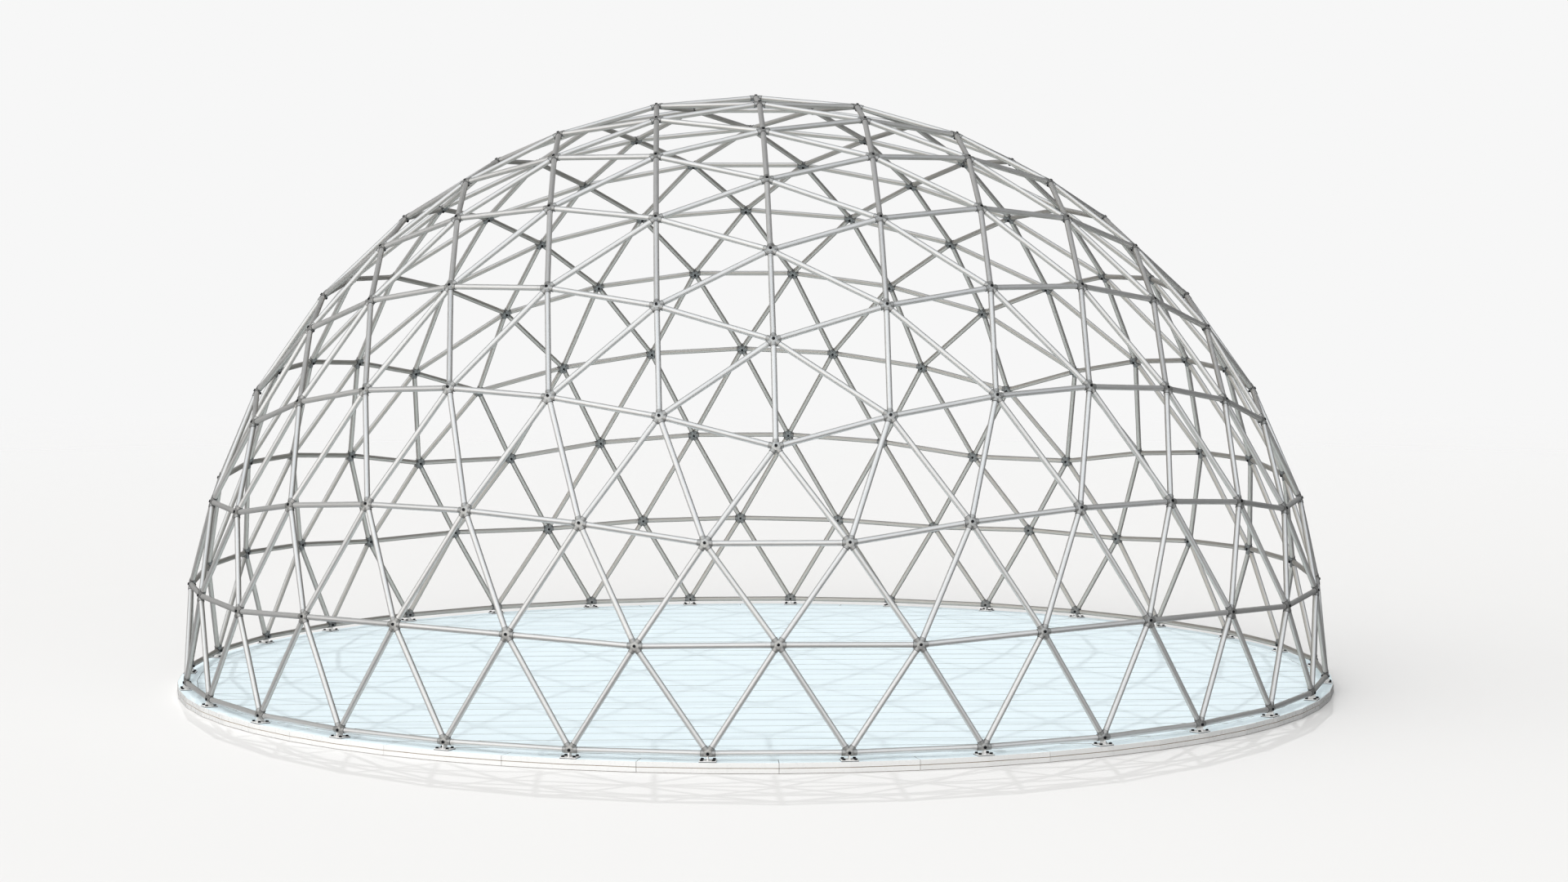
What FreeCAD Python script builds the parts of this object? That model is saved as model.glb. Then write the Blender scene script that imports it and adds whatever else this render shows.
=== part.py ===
import FreeCAD, Part

import math
import os

from FreeCAD import Vector

# Dome climber: a six-frequency geodesic hemisphere of pipe struts and cast hubs on a round plank deck.
# Frame: origin on the ground at the centre of the deck, +Z up, -Y is the front. Millimetres and degrees.

# --- dome ---
dome_radius = 3000.0  # sphere through the hub centres
frequency = 6  # struts along one edge of the parent icosahedron
hub_lift = 36.0  # lowest hub centres above the deck

# --- struts ---
pipe_od = 26.9
pipe_wall = 2.6
pipe_end_gap = 0.3  # pipe end to socket floor
plug_length = 20.0  # plug inside the pipe
plug_clearance = 0.1
spigot_d = 8.0
spigot_neck_d = 5.0
spigot_flange = 2.0  # full-diameter end beyond the neck

# --- hubs ---
socket_clearance = 0.2
socket_wall = 1.6
socket_depth = 2.4
mitre_wall = 0.3  # metal left between a socket floor and the mitre with the next arm
mitre_overlap = 2.0  # level arms of a lowest hub start this far behind its centre, and their mitre trims them
spigot_clearance = 0.2
window_apothem = 14.2  # hub centre to the inner end of each arm
seat_width = 2.4  # ledge round the window that carries a cap
seat_drop = 4.1  # ledge below the tops of the arms
cap_clearance = 0.2
cap_plate = 2.0
cap_rise = 1.8  # faceted middle of a cap above its edge
cap_top_apothem = 8.2
cap_lip = 2.2  # wall that drops into the spigot necks
lip_clearance = 0.3

# --- lowest hubs, flat underneath ---
window_floor = 7.9  # hub centre down to the window's lower edge
slot_roof = 1.2  # between the cap seats and the slot for the foot's web

# --- fasteners ---
bolt_d = 8.0
bolt_hole_clearance = 0.3
hex_across_flats = 13.0
hex_head_height = 5.3
nut_height = 6.8
nut_bore_clearance = 0.1
bolt_tip = 2.0  # thread past the nut
washer_od = 16.0
washer_thickness = 1.6

# --- feet ---
foot_width = 78.0  # along the rim
foot_depth = 66.0  # across the rim
pad_thickness = 2.8  # rubber pad under the plate
plate_thickness = 3.2
web_thickness = 5.0
web_depth = 36.0
web_clearance = 0.1
anchor_spacing_width = 54.0
anchor_spacing_depth = 42.0
anchor_length = 45.0
anchor_hole_clearance = 0.5
pilot_clearance = 0.2

# --- deck ---
layer_thickness = 24.0  # two layers
rim_reach = 40.0  # rim corners beyond the hub centres
ring_width = 100.0  # border ring
band_thickness = 3.0  # edge band round the rim
band_seam = 1.5
ring_joint = 2.0
plank_count = 30
plank_gap = 8.0
joist_count = 15
joist_width = 90.0
deck_clearance = 2.0  # planks and joists to the border ring

# --- worked out from the above ---
SECTORS = 5
RINGS = 9  # rings of hubs below the crown
BASE_HUBS = 5 * frequency
RIM_STEP = 180.0 / BASE_HUBS  # degrees between a foot and the next joint of the rim
SECTOR_START = -93.0  # azimuth between two hubs where the first fifth of the dome begins
CROWN_RINGS = 3  # last ring of each tier
SHOULDER_RINGS = 6
UP = Vector(0, 0, 1)
ORIGIN = Vector(0, 0, 0)
STEEP = 0.9  # a unit vector with a larger Z is too near the vertical to be crossed with it
FLAT_GAP = math.radians(179.9)  # a wider gap between two arms is the flat underside of a lowest hub
ON_EQUATOR = 1e-6
KEY_DIGITS = 4  # enough to tell two hub directions apart
PAST = 1.0  # how far a cut passes the face that it opens
deck_top = 2 * layer_thickness
plate_top = deck_top + pad_thickness + plate_thickness
dome_centre = Vector(0, 0, deck_top + hub_lift)
arm_r = pipe_od / 2 + socket_clearance + socket_wall
socket_r = pipe_od / 2 + socket_clearance
seat_height = arm_r - seat_drop
spigot_hole_r = spigot_d / 2 + spigot_clearance
plug_r = pipe_od / 2 - pipe_wall - plug_clearance
lip_outer = window_apothem - cap_clearance
lip_inner = lip_outer - cap_lip
spigot_end = lip_inner - cap_clearance - spigot_flange
recess_apothem = window_apothem + seat_width
plate_apothem = recess_apothem - cap_clearance
recess_floor = window_floor + seat_width
slot_top = recess_floor + slot_roof
bolt_hole_r = bolt_d / 2 + bolt_hole_clearance
hub_reach = 3 * pipe_od  # longer than any cut through a hub


def on_sphere(latitude, azimuth):
    """Unit vector at a latitude and azimuth in degrees."""
    flat = math.cos(math.radians(latitude))
    turn = math.radians(azimuth)
    return Vector(flat * math.cos(turn), flat * math.sin(turn), math.sin(math.radians(latitude)))


def along_arc(start, end, share):
    """Point at a share of the great arc from one unit vector to another."""
    angle = start.getAngle(end)
    return (start * math.sin((1 - share) * angle) + end * math.sin(share * angle)) / math.sin(angle)


def icosahedron_faces():
    """Faces that reach above the equator, each with the ring number of its apex and the step of a row."""
    latitude = math.degrees(math.atan(0.5))  # of the five corners nearest the crown
    step = 360.0 / SECTORS
    crown = UP
    upper = [on_sphere(latitude, -90 + step * k) for k in range(SECTORS)]
    lower = [on_sphere(-latitude, -90 + step * (k + 0.5)) for k in range(SECTORS)]
    faces = []
    for k in range(SECTORS):
        after = (k + 1) % SECTORS
        faces.append((crown, upper[k], upper[after], 0, 1))
        faces.append((upper[k], lower[k - 1], lower[k], frequency, 1))
        faces.append((lower[k], upper[k], upper[after], 2 * frequency, -1))
    return faces


def dome_net():
    """Hubs as {key: (unit vector, ring)} and struts as a set of key pairs."""
    hubs, struts = {}, set()
    for apex, left, right, apex_ring, step in icosahedron_faces():
        keys = {}
        for row in range(frequency + 1):
            start = along_arc(apex, left, row / frequency)
            end = along_arc(apex, right, row / frequency)
            for place in range(row + 1):
                point = along_arc(start, end, place / row) if row else apex
                if point.z > -ON_EQUATOR:
                    key = tuple(round(value, KEY_DIGITS) + 0.0 for value in point)
                    keys[row, place] = key
                    hubs.setdefault(key, (point, apex_ring + step * row))
        for (row, place), key in keys.items():
            for other in ((row, place + 1), (row + 1, place), (row + 1, place + 1)):
                if other in keys:
                    struts.add(tuple(sorted((key, keys[other]))))
    return hubs, struts


def in_first_sector(point):
    """True for one fifth of the dome, which the other four copy."""
    return (math.degrees(math.atan2(point.y, point.x)) - SECTOR_START) % 360 < 360 / SECTORS


def five_times(shape):
    """Copies of a shape round the dome."""
    return [shape.rotated(ORIGIN, UP, 360 / SECTORS * k) for k in range(SECTORS)]


def round_the_rim(shape):
    """Copies of a shape made at azimuth 0, one at each foot."""
    return [shape.rotated(ORIGIN, UP, 2 * RIM_STEP * k) for k in range(BASE_HUBS)]


def across(direction):
    """Any unit vector square to a direction."""
    other = UP if abs(direction.z) < STEEP else Vector(1, 0, 0)
    return direction.cross(other).normalize()


def turned(centre, axis, profile):
    """Solid of revolution: profile lists (distance along the axis, radius)."""
    side = across(axis)
    points = [centre + axis * along + side * radius for along, radius in profile]
    face = Part.Face(Part.makePolygon(points + points[:1]))
    return face.revolve(centre, axis, 360)


def hexagon_prism(centre, axis, flats, height):
    """Hexagonal prism that stands on centre and rises along the axis."""
    first = across(axis)
    second = axis.cross(first)
    corner = flats / math.sqrt(3)
    points = []
    for k in range(6):
        turn = math.radians(60 * k)
        points.append(centre + first * (corner * math.cos(turn)) + second * (corner * math.sin(turn)))
    return Part.Face(Part.makePolygon(points + points[:1])).extrude(axis * height)


def stacked(loops):
    """Solid between matching polygons, closed by the first and the last."""
    faces = [Part.Face(Part.makePolygon(loop + loop[:1])) for loop in (loops[0], loops[-1])]
    for one, other in zip(loops, loops[1:]):
        for i in range(len(one)):
            j = (i + 1) % len(one)
            faces.append(Part.Face(Part.makePolygon([one[i], one[j], other[j], other[i], one[i]])))
    shell = Part.Shell(faces)
    shell.sewShape()
    solid = Part.Solid(Part.Shell(shell.Faces))
    if solid.Volume < 0:
        solid.reverse()
    return solid


class Arm:
    """One strut's direction at a hub, with its place round the hub's axis."""

    def __init__(self, direction, normal, east, north):
        self.direction = direction
        self.sink = -direction.dot(normal)  # sine of the strut's slope below the tangent plane
        self.flat = (direction + normal * self.sink).normalize()
        self.turn = math.atan2(self.flat.dot(north), self.flat.dot(east)) % (2 * math.pi)


class Hub:
    """A hub's centre, its outward normal and its arms in order round the normal."""

    def __init__(self, point, ring, neighbours):
        self.normal = Vector(point)
        self.ring = ring
        self.centre = dome_centre + self.normal * dome_radius
        self.east = across(self.normal)
        self.north = self.normal.cross(self.east)
        arms = [Arm((other - point).normalize(), self.normal, self.east, self.north) for other in neighbours]
        self.arms = sorted(arms, key=lambda arm: arm.turn)
        slopes = [arm.sink / math.sqrt(1 - arm.sink**2) for arm in self.arms]
        self.middle = -window_apothem * sum(slopes) / len(slopes)
        self.slope_spread = max(slopes) - min(slopes)

    def at_base(self):
        return self.ring == RINGS

    def gap_after(self, k):
        """Angle from arm k to the next arm round the hub."""
        return (self.arms[(k + 1) % len(self.arms)].turn - self.arms[k].turn) % (2 * math.pi)

    def sides(self, apothem, floor):
        """Sides of a polygon square to the arms as (flat direction, slope sine, distance), in order.

        A lowest hub has one more side, level and below the centre at the distance floor.
        """
        found = []
        for k, arm in enumerate(self.arms):
            found.append((arm.flat, arm.sink, apothem))
            if self.gap_after(k) > FLAT_GAP:
                found.append((-UP, 0.0, floor))
        return found

    def loop(self, apothem, floor, height):
        """Polygon square to the arms in the plane at a height along the normal from the hub's middle."""
        level = self.middle + height
        lines = []
        for flat, sink, distance in self.sides(apothem, floor):
            away = (distance + level * sink) / math.sqrt(1 - sink**2)
            lines.append((flat.dot(self.east), flat.dot(self.north), away))
        points = []
        for (a, b, p), (c, d, q) in zip(lines, lines[1:] + lines[:1]):
            det = a * d - b * c
            x = (p * d - b * q) / det
            y = (a * q - p * c) / det
            points.append(self.centre + self.east * x + self.north * y + self.normal * level)
        return points

    def at(self, height):
        """Point on the hub's axis at a height from the hub's middle."""
        return self.centre + self.normal * (self.middle + height)


def socket_floor_for(hubs):
    """Distance from a hub's centre to its socket floors, which leaves mitre_wall between close arms."""
    closest = min(hub.gap_after(k) for hub in hubs for k in range(len(hub.arms)))
    return (socket_r + mitre_wall) / math.tan(closest / 2)


def arm_wedge(hub, k):
    """Prism that bounds arm k by the mirror planes with the arms beside it."""
    arm = hub.arms[k]
    before = hub.arms[k - 1]
    after = hub.arms[(k + 1) % len(hub.arms)]
    normals = [(arm.direction - other.direction).normalize() for other in (before, after)]
    ridge = normals[0].cross(normals[1]).normalize()
    turns = [arm.turn - hub.gap_after((k - 1) % len(hub.arms)) / 2, arm.turn + hub.gap_after(k) / 2]
    corners = [hub.centre]
    for turn, normal in zip(turns, normals):
        edge = hub.east * math.cos(turn) + hub.north * math.sin(turn)
        edge = edge - normal * edge.dot(normal)
        edge = (edge - ridge * edge.dot(ridge)).normalize()
        corners.append(hub.centre + edge * 2 * hub_reach)
    corners = [corner - ridge * hub_reach for corner in corners]
    return Part.Face(Part.makePolygon(corners + corners[:1])).extrude(ridge * 2 * hub_reach)


def hub_arm(hub, k, socket_floor):
    """Arm with its socket and spigot hole, mitred to the arms beside it."""
    mouth = socket_floor + socket_depth
    gaps = (hub.gap_after(k), hub.gap_after((k - 1) % len(hub.arms)))
    # the two level arms of a lowest hub meet end to end under its window
    start = -mitre_overlap if max(gaps) > FLAT_GAP else window_apothem
    profile = [
        (start, spigot_hole_r),
        (socket_floor, spigot_hole_r),
        (socket_floor, socket_r),
        (mouth, socket_r),
        (mouth, arm_r),
        (start, arm_r),
    ]
    return turned(hub.centre, hub.arms[k].direction, profile).common(arm_wedge(hub, k))


def hub_body(hub, socket_floor):
    """Cast hub: mitred arms round a window, with a seat for a cap on each face."""
    arms = [hub_arm(hub, k, socket_floor) for k in range(len(hub.arms))]
    cuts = []
    for side in (1, -1):
        levels = (side * seat_height, side * (seat_height + arm_r))
        cuts.append(stacked([hub.loop(recess_apothem, recess_floor, level) for level in levels]))
    if hub.at_base():
        levels = (-seat_height - arm_r, seat_height + arm_r)
        cuts.append(stacked([hub.loop(window_apothem, window_floor, level) for level in levels]))
        cuts.append(web_slot(hub))
    body = arms[0].multiFuse(arms[1:]).removeSplitter().cut(cuts)
    return body.removeSplitter()


def web_slot(hub):
    """Slot under a lowest hub for the foot's web."""
    width = web_thickness + 2 * web_clearance
    corner = hub.centre - hub.normal * hub_reach
    side = UP.cross(hub.normal).normalize()
    left, right = side * (-width / 2), side * (width / 2)
    points = []
    for half, down in ((left, slot_top), (right, slot_top), (right, hub_reach), (left, hub_reach)):
        points.append(corner + half - UP * down)
    return Part.Face(Part.makePolygon(points + points[:1])).extrude(hub.normal * 2 * hub_reach)


def cap(hub, side):
    """Faceted cap on the outer (side 1) or inner (side -1) seat. Its lip drops into the spigot necks."""
    lip_end = spigot_neck_d / 2 + lip_clearance + window_apothem * hub.slope_spread / 2
    top = seat_height + cap_plate + cap_rise
    plate_floor = recess_floor - cap_clearance
    lip_floor = window_floor - cap_clearance
    loops = [
        hub.loop(lip_inner, lip_floor - cap_lip, side * seat_height),
        hub.loop(lip_inner, lip_floor - cap_lip, side * lip_end),
        hub.loop(lip_outer, lip_floor, side * lip_end),
        hub.loop(lip_outer, lip_floor, side * seat_height),
        hub.loop(plate_apothem, plate_floor, side * seat_height),
        hub.loop(plate_apothem, plate_floor, side * (seat_height + cap_plate)),
        hub.loop(cap_top_apothem, cap_top_apothem, side * top),
    ]
    hole = Part.makeCylinder(bolt_hole_r, 2 * hub_reach, hub.at(-hub_reach), hub.normal)
    return stacked(loops).removeSplitter().cut(hole)


def hex_bolt(head_base, axis, length):
    """Hexagon-head bolt: the head rises along the axis, the shank goes the other way."""
    head = hexagon_prism(head_base, axis, hex_across_flats, hex_head_height)
    shank = Part.makeCylinder(bolt_d / 2, length, head_base, -axis)
    return head.fuse(shank)


def hub_bolt(hub):
    """Bolt that clamps the two caps of a hub."""
    cap_top = seat_height + cap_plate + cap_rise
    return hex_bolt(hub.at(cap_top), hub.normal, 2 * cap_top + nut_height + bolt_tip)


def hub_nut(hub):
    """Nut of the hub bolt, on the inner cap."""
    base = hub.at(-seat_height - cap_plate - cap_rise)
    bore = Part.makeCylinder(bolt_d / 2 + nut_bore_clearance, 2 * nut_height, base + hub.normal, -hub.normal)
    return hexagon_prism(base, -hub.normal, hex_across_flats, nut_height).cut(bore)


def strut_line(one, other):
    """End points of a strut at its two hub centres, its direction and its length."""
    start = dome_centre + one * dome_radius
    end = dome_centre + other * dome_radius
    return start, end, (end - start).normalize(), (end - start).Length


def strut_pipe(one, other, pipe_end):
    """Pipe between the socket floors of two hubs."""
    start, _, direction, length = strut_line(one, other)
    outer, inner = pipe_od / 2, pipe_od / 2 - pipe_wall
    profile = [(pipe_end, inner), (length - pipe_end, inner), (length - pipe_end, outer), (pipe_end, outer)]
    return turned(start, direction, profile)


def strut_plugs(one, other, pipe_end):
    """Plugs at both ends of a pipe, each with a necked spigot that passes into the hub's window."""
    start, end, direction, _ = strut_line(one, other)
    neck_start = spigot_end + spigot_flange
    profile = [
        (spigot_end, 0.0),
        (spigot_end, spigot_d / 2),
        (neck_start, spigot_d / 2),
        (neck_start, spigot_neck_d / 2),
        (window_apothem, spigot_neck_d / 2),
        (window_apothem, spigot_d / 2),
        (pipe_end, spigot_d / 2),
        (pipe_end, plug_r),
        (pipe_end + plug_length, plug_r),
        (pipe_end + plug_length, 0.0),
    ]
    return [turned(start, direction, profile), turned(end, -direction, profile)]


def anchor_points():
    """Places of the four anchors of the foot at azimuth 0, on the deck."""
    places = []
    for radial in (-anchor_spacing_depth / 2, anchor_spacing_depth / 2):
        for sideways in (-anchor_spacing_width / 2, anchor_spacing_width / 2):
            places.append(Vector(dome_radius + radial, sideways, deck_top))
    return places


def upright_holes(radius, bottom, top):
    """Cylinders for the four anchor holes of a foot between two levels."""
    holes = []
    for place in anchor_points():
        holes.append(Part.makeCylinder(radius, top - bottom, Vector(place.x, place.y, bottom), UP))
    return holes


def foot_layer(bottom, top):
    """Pad or plate of the foot at azimuth 0, with its anchor holes."""
    corner = Vector(dome_radius - foot_depth / 2, -foot_width / 2, bottom)
    layer = Part.makeBox(foot_depth, foot_width, top - bottom, corner)
    return layer.cut(upright_holes(bolt_d / 2 + anchor_hole_clearance, bottom - PAST, top + PAST))


def foot_web():
    """Upright web of the foot at azimuth 0, from its plate into the slot under the hub."""
    top = dome_centre.z - slot_top - web_clearance
    corner = Vector(dome_radius - web_depth / 2, -web_thickness / 2, plate_top)
    return Part.makeBox(web_depth, web_thickness, top - plate_top, corner)


def anchor_washers():
    """Washers of the foot at azimuth 0."""
    washers = []
    for place in anchor_points():
        seat = Vector(place.x, place.y, plate_top)
        inner = bolt_d / 2 + bolt_hole_clearance
        outer = washer_od / 2
        thick = washer_thickness
        washers.append(turned(seat, UP, [(0, inner), (thick, inner), (thick, outer), (0, outer)]))
    return washers


def anchor_bolts():
    """Anchor bolts of the foot at azimuth 0."""
    base = plate_top + washer_thickness
    return [hex_bolt(Vector(place.x, place.y, base), UP, anchor_length) for place in anchor_points()]


def rim_corner(inset, azimuth, shift=0.0):
    """Corner of the rim's outline, inset square to its sides and shifted sideways along the rim."""
    radius = dome_radius + rim_reach - inset / math.cos(math.radians(RIM_STEP / 2))
    turn = math.radians(azimuth)
    x = radius * math.cos(turn) - shift * math.sin(turn)
    y = radius * math.sin(turn) + shift * math.cos(turn)
    return Vector(x, y, 0)


def rim_piece(outer_inset, inner_inset, bottom, top):
    """Length of the rim centred on the foot at azimuth 0, with a corner there and a joint at each end."""
    half = ring_joint / 2
    outline = []
    for inset, order in ((outer_inset, (-1, 0, 1)), (inner_inset, (1, 0, -1))):
        for end in order:
            outline.append(rim_corner(inset, end * RIM_STEP, -end * half) + UP * bottom)
    return Part.Face(Part.makePolygon(outline + outline[:1])).extrude(UP * (top - bottom))


def base_ring_piece():
    """Lower layer of the border ring, with pilot holes for the anchors."""
    piece = rim_piece(band_thickness, ring_width, 0, layer_thickness)
    tip = plate_top + washer_thickness - anchor_length
    bottom, top = tip - pilot_clearance, layer_thickness + PAST
    return piece.cut(upright_holes(bolt_d / 2 + pilot_clearance, bottom, top))


def deck_ring_piece():
    """Upper layer of the border ring, which the feet stand on."""
    piece = rim_piece(band_thickness, ring_width, layer_thickness, deck_top)
    bottom, top = layer_thickness - PAST, deck_top + PAST
    return piece.cut(upright_holes(bolt_d / 2 + anchor_hole_clearance, bottom, top))


def inside_ring(bottom, top):
    """Prism of the space inside the border ring."""
    inset = ring_width + deck_clearance
    corners = [rim_corner(inset, RIM_STEP * k) + UP * bottom for k in range(2 * BASE_HUBS)]
    return Part.Face(Part.makePolygon(corners + corners[:1])).extrude(UP * (top - bottom))


def planks():
    """Deck planks that run from side to side."""
    space = inside_ring(layer_thickness, deck_top)
    box = space.BoundBox
    pitch = (box.YLength + plank_gap) / plank_count
    found = []
    for k in range(plank_count):
        corner = Vector(box.XMin, box.YMin + k * pitch, layer_thickness)
        plank = Part.makeBox(box.XLength, pitch - plank_gap, layer_thickness, corner)
        found.append(plank.common(space))
    return found


def joists():
    """Flat joists under the planks, square to them."""
    space = inside_ring(0, layer_thickness)
    box = space.BoundBox
    pitch = box.XLength / joist_count
    found = []
    for k in range(joist_count):
        corner = Vector(box.XMin + (k + 0.5) * pitch - joist_width / 2, box.YMin, 0)
        joist = Part.makeBox(joist_width, box.YLength, layer_thickness, corner)
        found.append(joist.common(space))
    return found


def tier_name(ring):
    """Part of the dome that a hub or strut belongs to."""
    if ring <= CROWN_RINGS:
        return "crown"
    if ring <= SHOULDER_RINGS:
        return "shoulder"
    return "wall"


def hub_copies(hub, shape):
    """All copies of a hub's piece: one at the crown, five in any other ring."""
    return five_times(shape) if hub.ring else [shape]


def build_dome(nodes):
    """Hubs, caps, bolts, nuts, pipes and plugs of the dome."""
    points, struts = dome_net()
    neighbours = {key: [] for key in points}
    for one, other in struts:
        neighbours[one].append(points[other][0])
        neighbours[other].append(points[one][0])
    hubs = []
    for key, (point, ring) in points.items():
        if ring == 0 or in_first_sector(point):
            hubs.append(Hub(point, ring, neighbours[key]))
    socket_floor = socket_floor_for(hubs)
    for hub in hubs:
        tier = "base" if hub.at_base() else tier_name(hub.ring)
        hub_node = "hub_crown" if hub.ring == 0 else f"hubs_ring_{hub.ring}"
        made = {
            hub_node: hub_body(hub, socket_floor),
            f"caps_outer_{tier}": cap(hub, 1),
            f"caps_inner_{tier}": cap(hub, -1),
            f"hub_bolts_{tier}": hub_bolt(hub),
            f"hub_nuts_{tier}": hub_nut(hub),
        }
        for node, shape in made.items():
            nodes.setdefault(node, []).extend(hub_copies(hub, shape))
    pipe_end = socket_floor + pipe_end_gap
    for one, other in struts:
        (start, start_ring), (end, end_ring) = points[one], points[other]
        if not in_first_sector((start + end) / 2):
            continue
        lower = max(start_ring, end_ring)
        kind = "ring" if start_ring == end_ring else "brace"
        nodes.setdefault(f"{kind}_pipes_{lower}", []).extend(five_times(strut_pipe(start, end, pipe_end)))
        for plug in strut_plugs(start, end, pipe_end):
            nodes.setdefault(f"plugs_{tier_name(lower)}", []).extend(five_times(plug))


def build_feet(nodes):
    """Feet that carry the lowest hubs."""
    pad_top = deck_top + pad_thickness
    nodes["foot_pads"] = round_the_rim(foot_layer(deck_top, pad_top))
    nodes["foot_plates"] = round_the_rim(foot_layer(pad_top, plate_top))
    nodes["foot_webs"] = round_the_rim(foot_web())
    nodes["anchor_washers"] = [copy for washer in anchor_washers() for copy in round_the_rim(washer)]
    nodes["anchor_bolts"] = [copy for bolt in anchor_bolts() for copy in round_the_rim(bolt)]


def build_deck(nodes):
    """Border ring, edge bands, planks and joists."""
    nodes["base_ring"] = round_the_rim(base_ring_piece())
    nodes["deck_ring"] = round_the_rim(deck_ring_piece())
    lower = rim_piece(0, band_thickness, band_seam, layer_thickness - band_seam)
    upper = rim_piece(0, band_thickness, layer_thickness + band_seam, deck_top)
    nodes["edge_band_lower"] = round_the_rim(lower)
    nodes["edge_band_upper"] = round_the_rim(upper)
    nodes["deck_planks"] = planks()
    nodes["deck_joists"] = joists()


def main():
    """Builds every node and writes its STEP."""
    nodes = {}
    build_dome(nodes)
    build_feet(nodes)
    build_deck(nodes)
    os.makedirs("parts", exist_ok=True)
    for node, shapes in nodes.items():
        Part.makeCompound(shapes).exportStep(f"parts/{node}.step")
        print(node, len(shapes), "solids")


main()
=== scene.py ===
import math

import bmesh
import bpy
from mathutils import Matrix, Vector


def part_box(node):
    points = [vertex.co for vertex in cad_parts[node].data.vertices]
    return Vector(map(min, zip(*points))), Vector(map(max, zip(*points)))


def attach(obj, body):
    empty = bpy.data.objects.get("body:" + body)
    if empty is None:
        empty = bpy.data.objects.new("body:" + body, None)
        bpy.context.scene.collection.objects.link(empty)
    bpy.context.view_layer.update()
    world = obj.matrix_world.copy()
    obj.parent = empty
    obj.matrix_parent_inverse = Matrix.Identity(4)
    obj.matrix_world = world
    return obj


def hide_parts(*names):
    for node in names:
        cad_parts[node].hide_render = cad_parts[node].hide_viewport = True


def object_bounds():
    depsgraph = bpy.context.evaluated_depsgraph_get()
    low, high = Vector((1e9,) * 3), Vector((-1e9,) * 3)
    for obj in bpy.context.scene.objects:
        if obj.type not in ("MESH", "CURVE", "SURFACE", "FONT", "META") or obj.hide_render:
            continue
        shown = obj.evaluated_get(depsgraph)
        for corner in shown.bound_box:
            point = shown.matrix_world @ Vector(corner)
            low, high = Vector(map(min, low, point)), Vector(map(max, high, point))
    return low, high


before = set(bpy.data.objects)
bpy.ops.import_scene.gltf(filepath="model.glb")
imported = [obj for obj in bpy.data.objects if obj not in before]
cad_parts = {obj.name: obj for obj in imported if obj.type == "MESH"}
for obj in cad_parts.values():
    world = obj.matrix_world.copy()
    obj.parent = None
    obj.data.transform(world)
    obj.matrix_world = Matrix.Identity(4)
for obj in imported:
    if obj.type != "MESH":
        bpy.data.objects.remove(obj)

bl_info = {
    "name": "Geodesic Dome Climber",
    "version": (1, 0, 0),
    "blender": (4, 5, 0),
    "location": "3D View > Sidebar > Dome Climber",
    "description": "Builds the pipes, hubs, feet, deck and studio of a geodesic climbing dome",
    "category": "Object",
}

# Everything is in metres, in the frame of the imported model: +Z up, -Y the front.
CAD_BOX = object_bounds()
BODY = "root"
UP = Vector((0, 0, 1))
FREQUENCY = 6  # struts along one edge of the parent icosahedron
SECTORS = 5  # equal parts round the crown
BASE_HUBS = SECTORS * FREQUENCY
RIM_STEP = math.pi / BASE_HUBS  # angle from a foot to the next joint of the rim

LOW_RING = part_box("ring_pipes_9")  # level pipes, at the height of the dome's centre
CENTRE_HEIGHT = (LOW_RING[0].z + LOW_RING[1].z) / 2
PIPE_DIAMETER = LOW_RING[1].z - LOW_RING[0].z
DECK_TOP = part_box("deck_ring")[1].z
LAYER_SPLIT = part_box("deck_ring")[0].z
WEB_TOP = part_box("foot_webs")[1].z

MERGE = 1e-6  # corners of a part nearer than this are one
BOARD_MERGE = 1e-5  # the same for boards
TOUCH = 0.0002  # overlap of a bead or a weld with the piece that it lies on
THREAD_SIDES = 12
SPIGOT_SIDES = 8
WASHER_SIDES = 24
HEX_CHAMFER = 0.0012
BOLT_LEAD = 0.001  # chamfer of a bolt's end
WASHER_EDGE = 0.0003
METAL_EDGE = 0.0005
RUBBER_EDGE = 0.0004
WELD_LEG = 0.0022
WELD_SINK = 0.0003  # how far a weld reaches into the web
FOOT_CORNER = 0.004
BORDER_ROUNDING = 0.0008
BAND_ROUNDING = 0.0004
FLOOR_DROP = 0.0005  # the floor lies this far under the climber, so that the two don't flicker
FLOOR_PLAIN = 6.0  # the floor is solid out to this radius


def nodes_named(*starts):
    """CAD nodes whose names start with one of these."""
    return [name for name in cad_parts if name.startswith(starts)]


# --- settings ---


def length(name, description, default):
    """Property for a length in metres."""
    return bpy.props.FloatProperty(
        name=name,
        description=description,
        default=default,
        min=0.0,
        precision=5,
        unit="LENGTH",
        subtype="DISTANCE",
    )


def count(name, description, default):
    """Property for a whole number."""
    return bpy.props.IntProperty(name=name, description=description, default=default, min=0)


def colour(name, description, default):
    """Property for a scene-linear colour."""
    return bpy.props.FloatVectorProperty(
        name=name, description=description, default=default, size=3, min=0.0, soft_max=1.0, subtype="COLOR"
    )


def share(name, description, default, highest=1.0):
    """Property for a share or a strength."""
    return bpy.props.FloatProperty(name=name, description=description, default=default, min=0.0, max=highest)


def angle(name, description, default):
    """Property for an angle in radians."""
    return bpy.props.FloatProperty(
        name=name, description=description, default=default, unit="ROTATION", subtype="ANGLE"
    )


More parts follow.
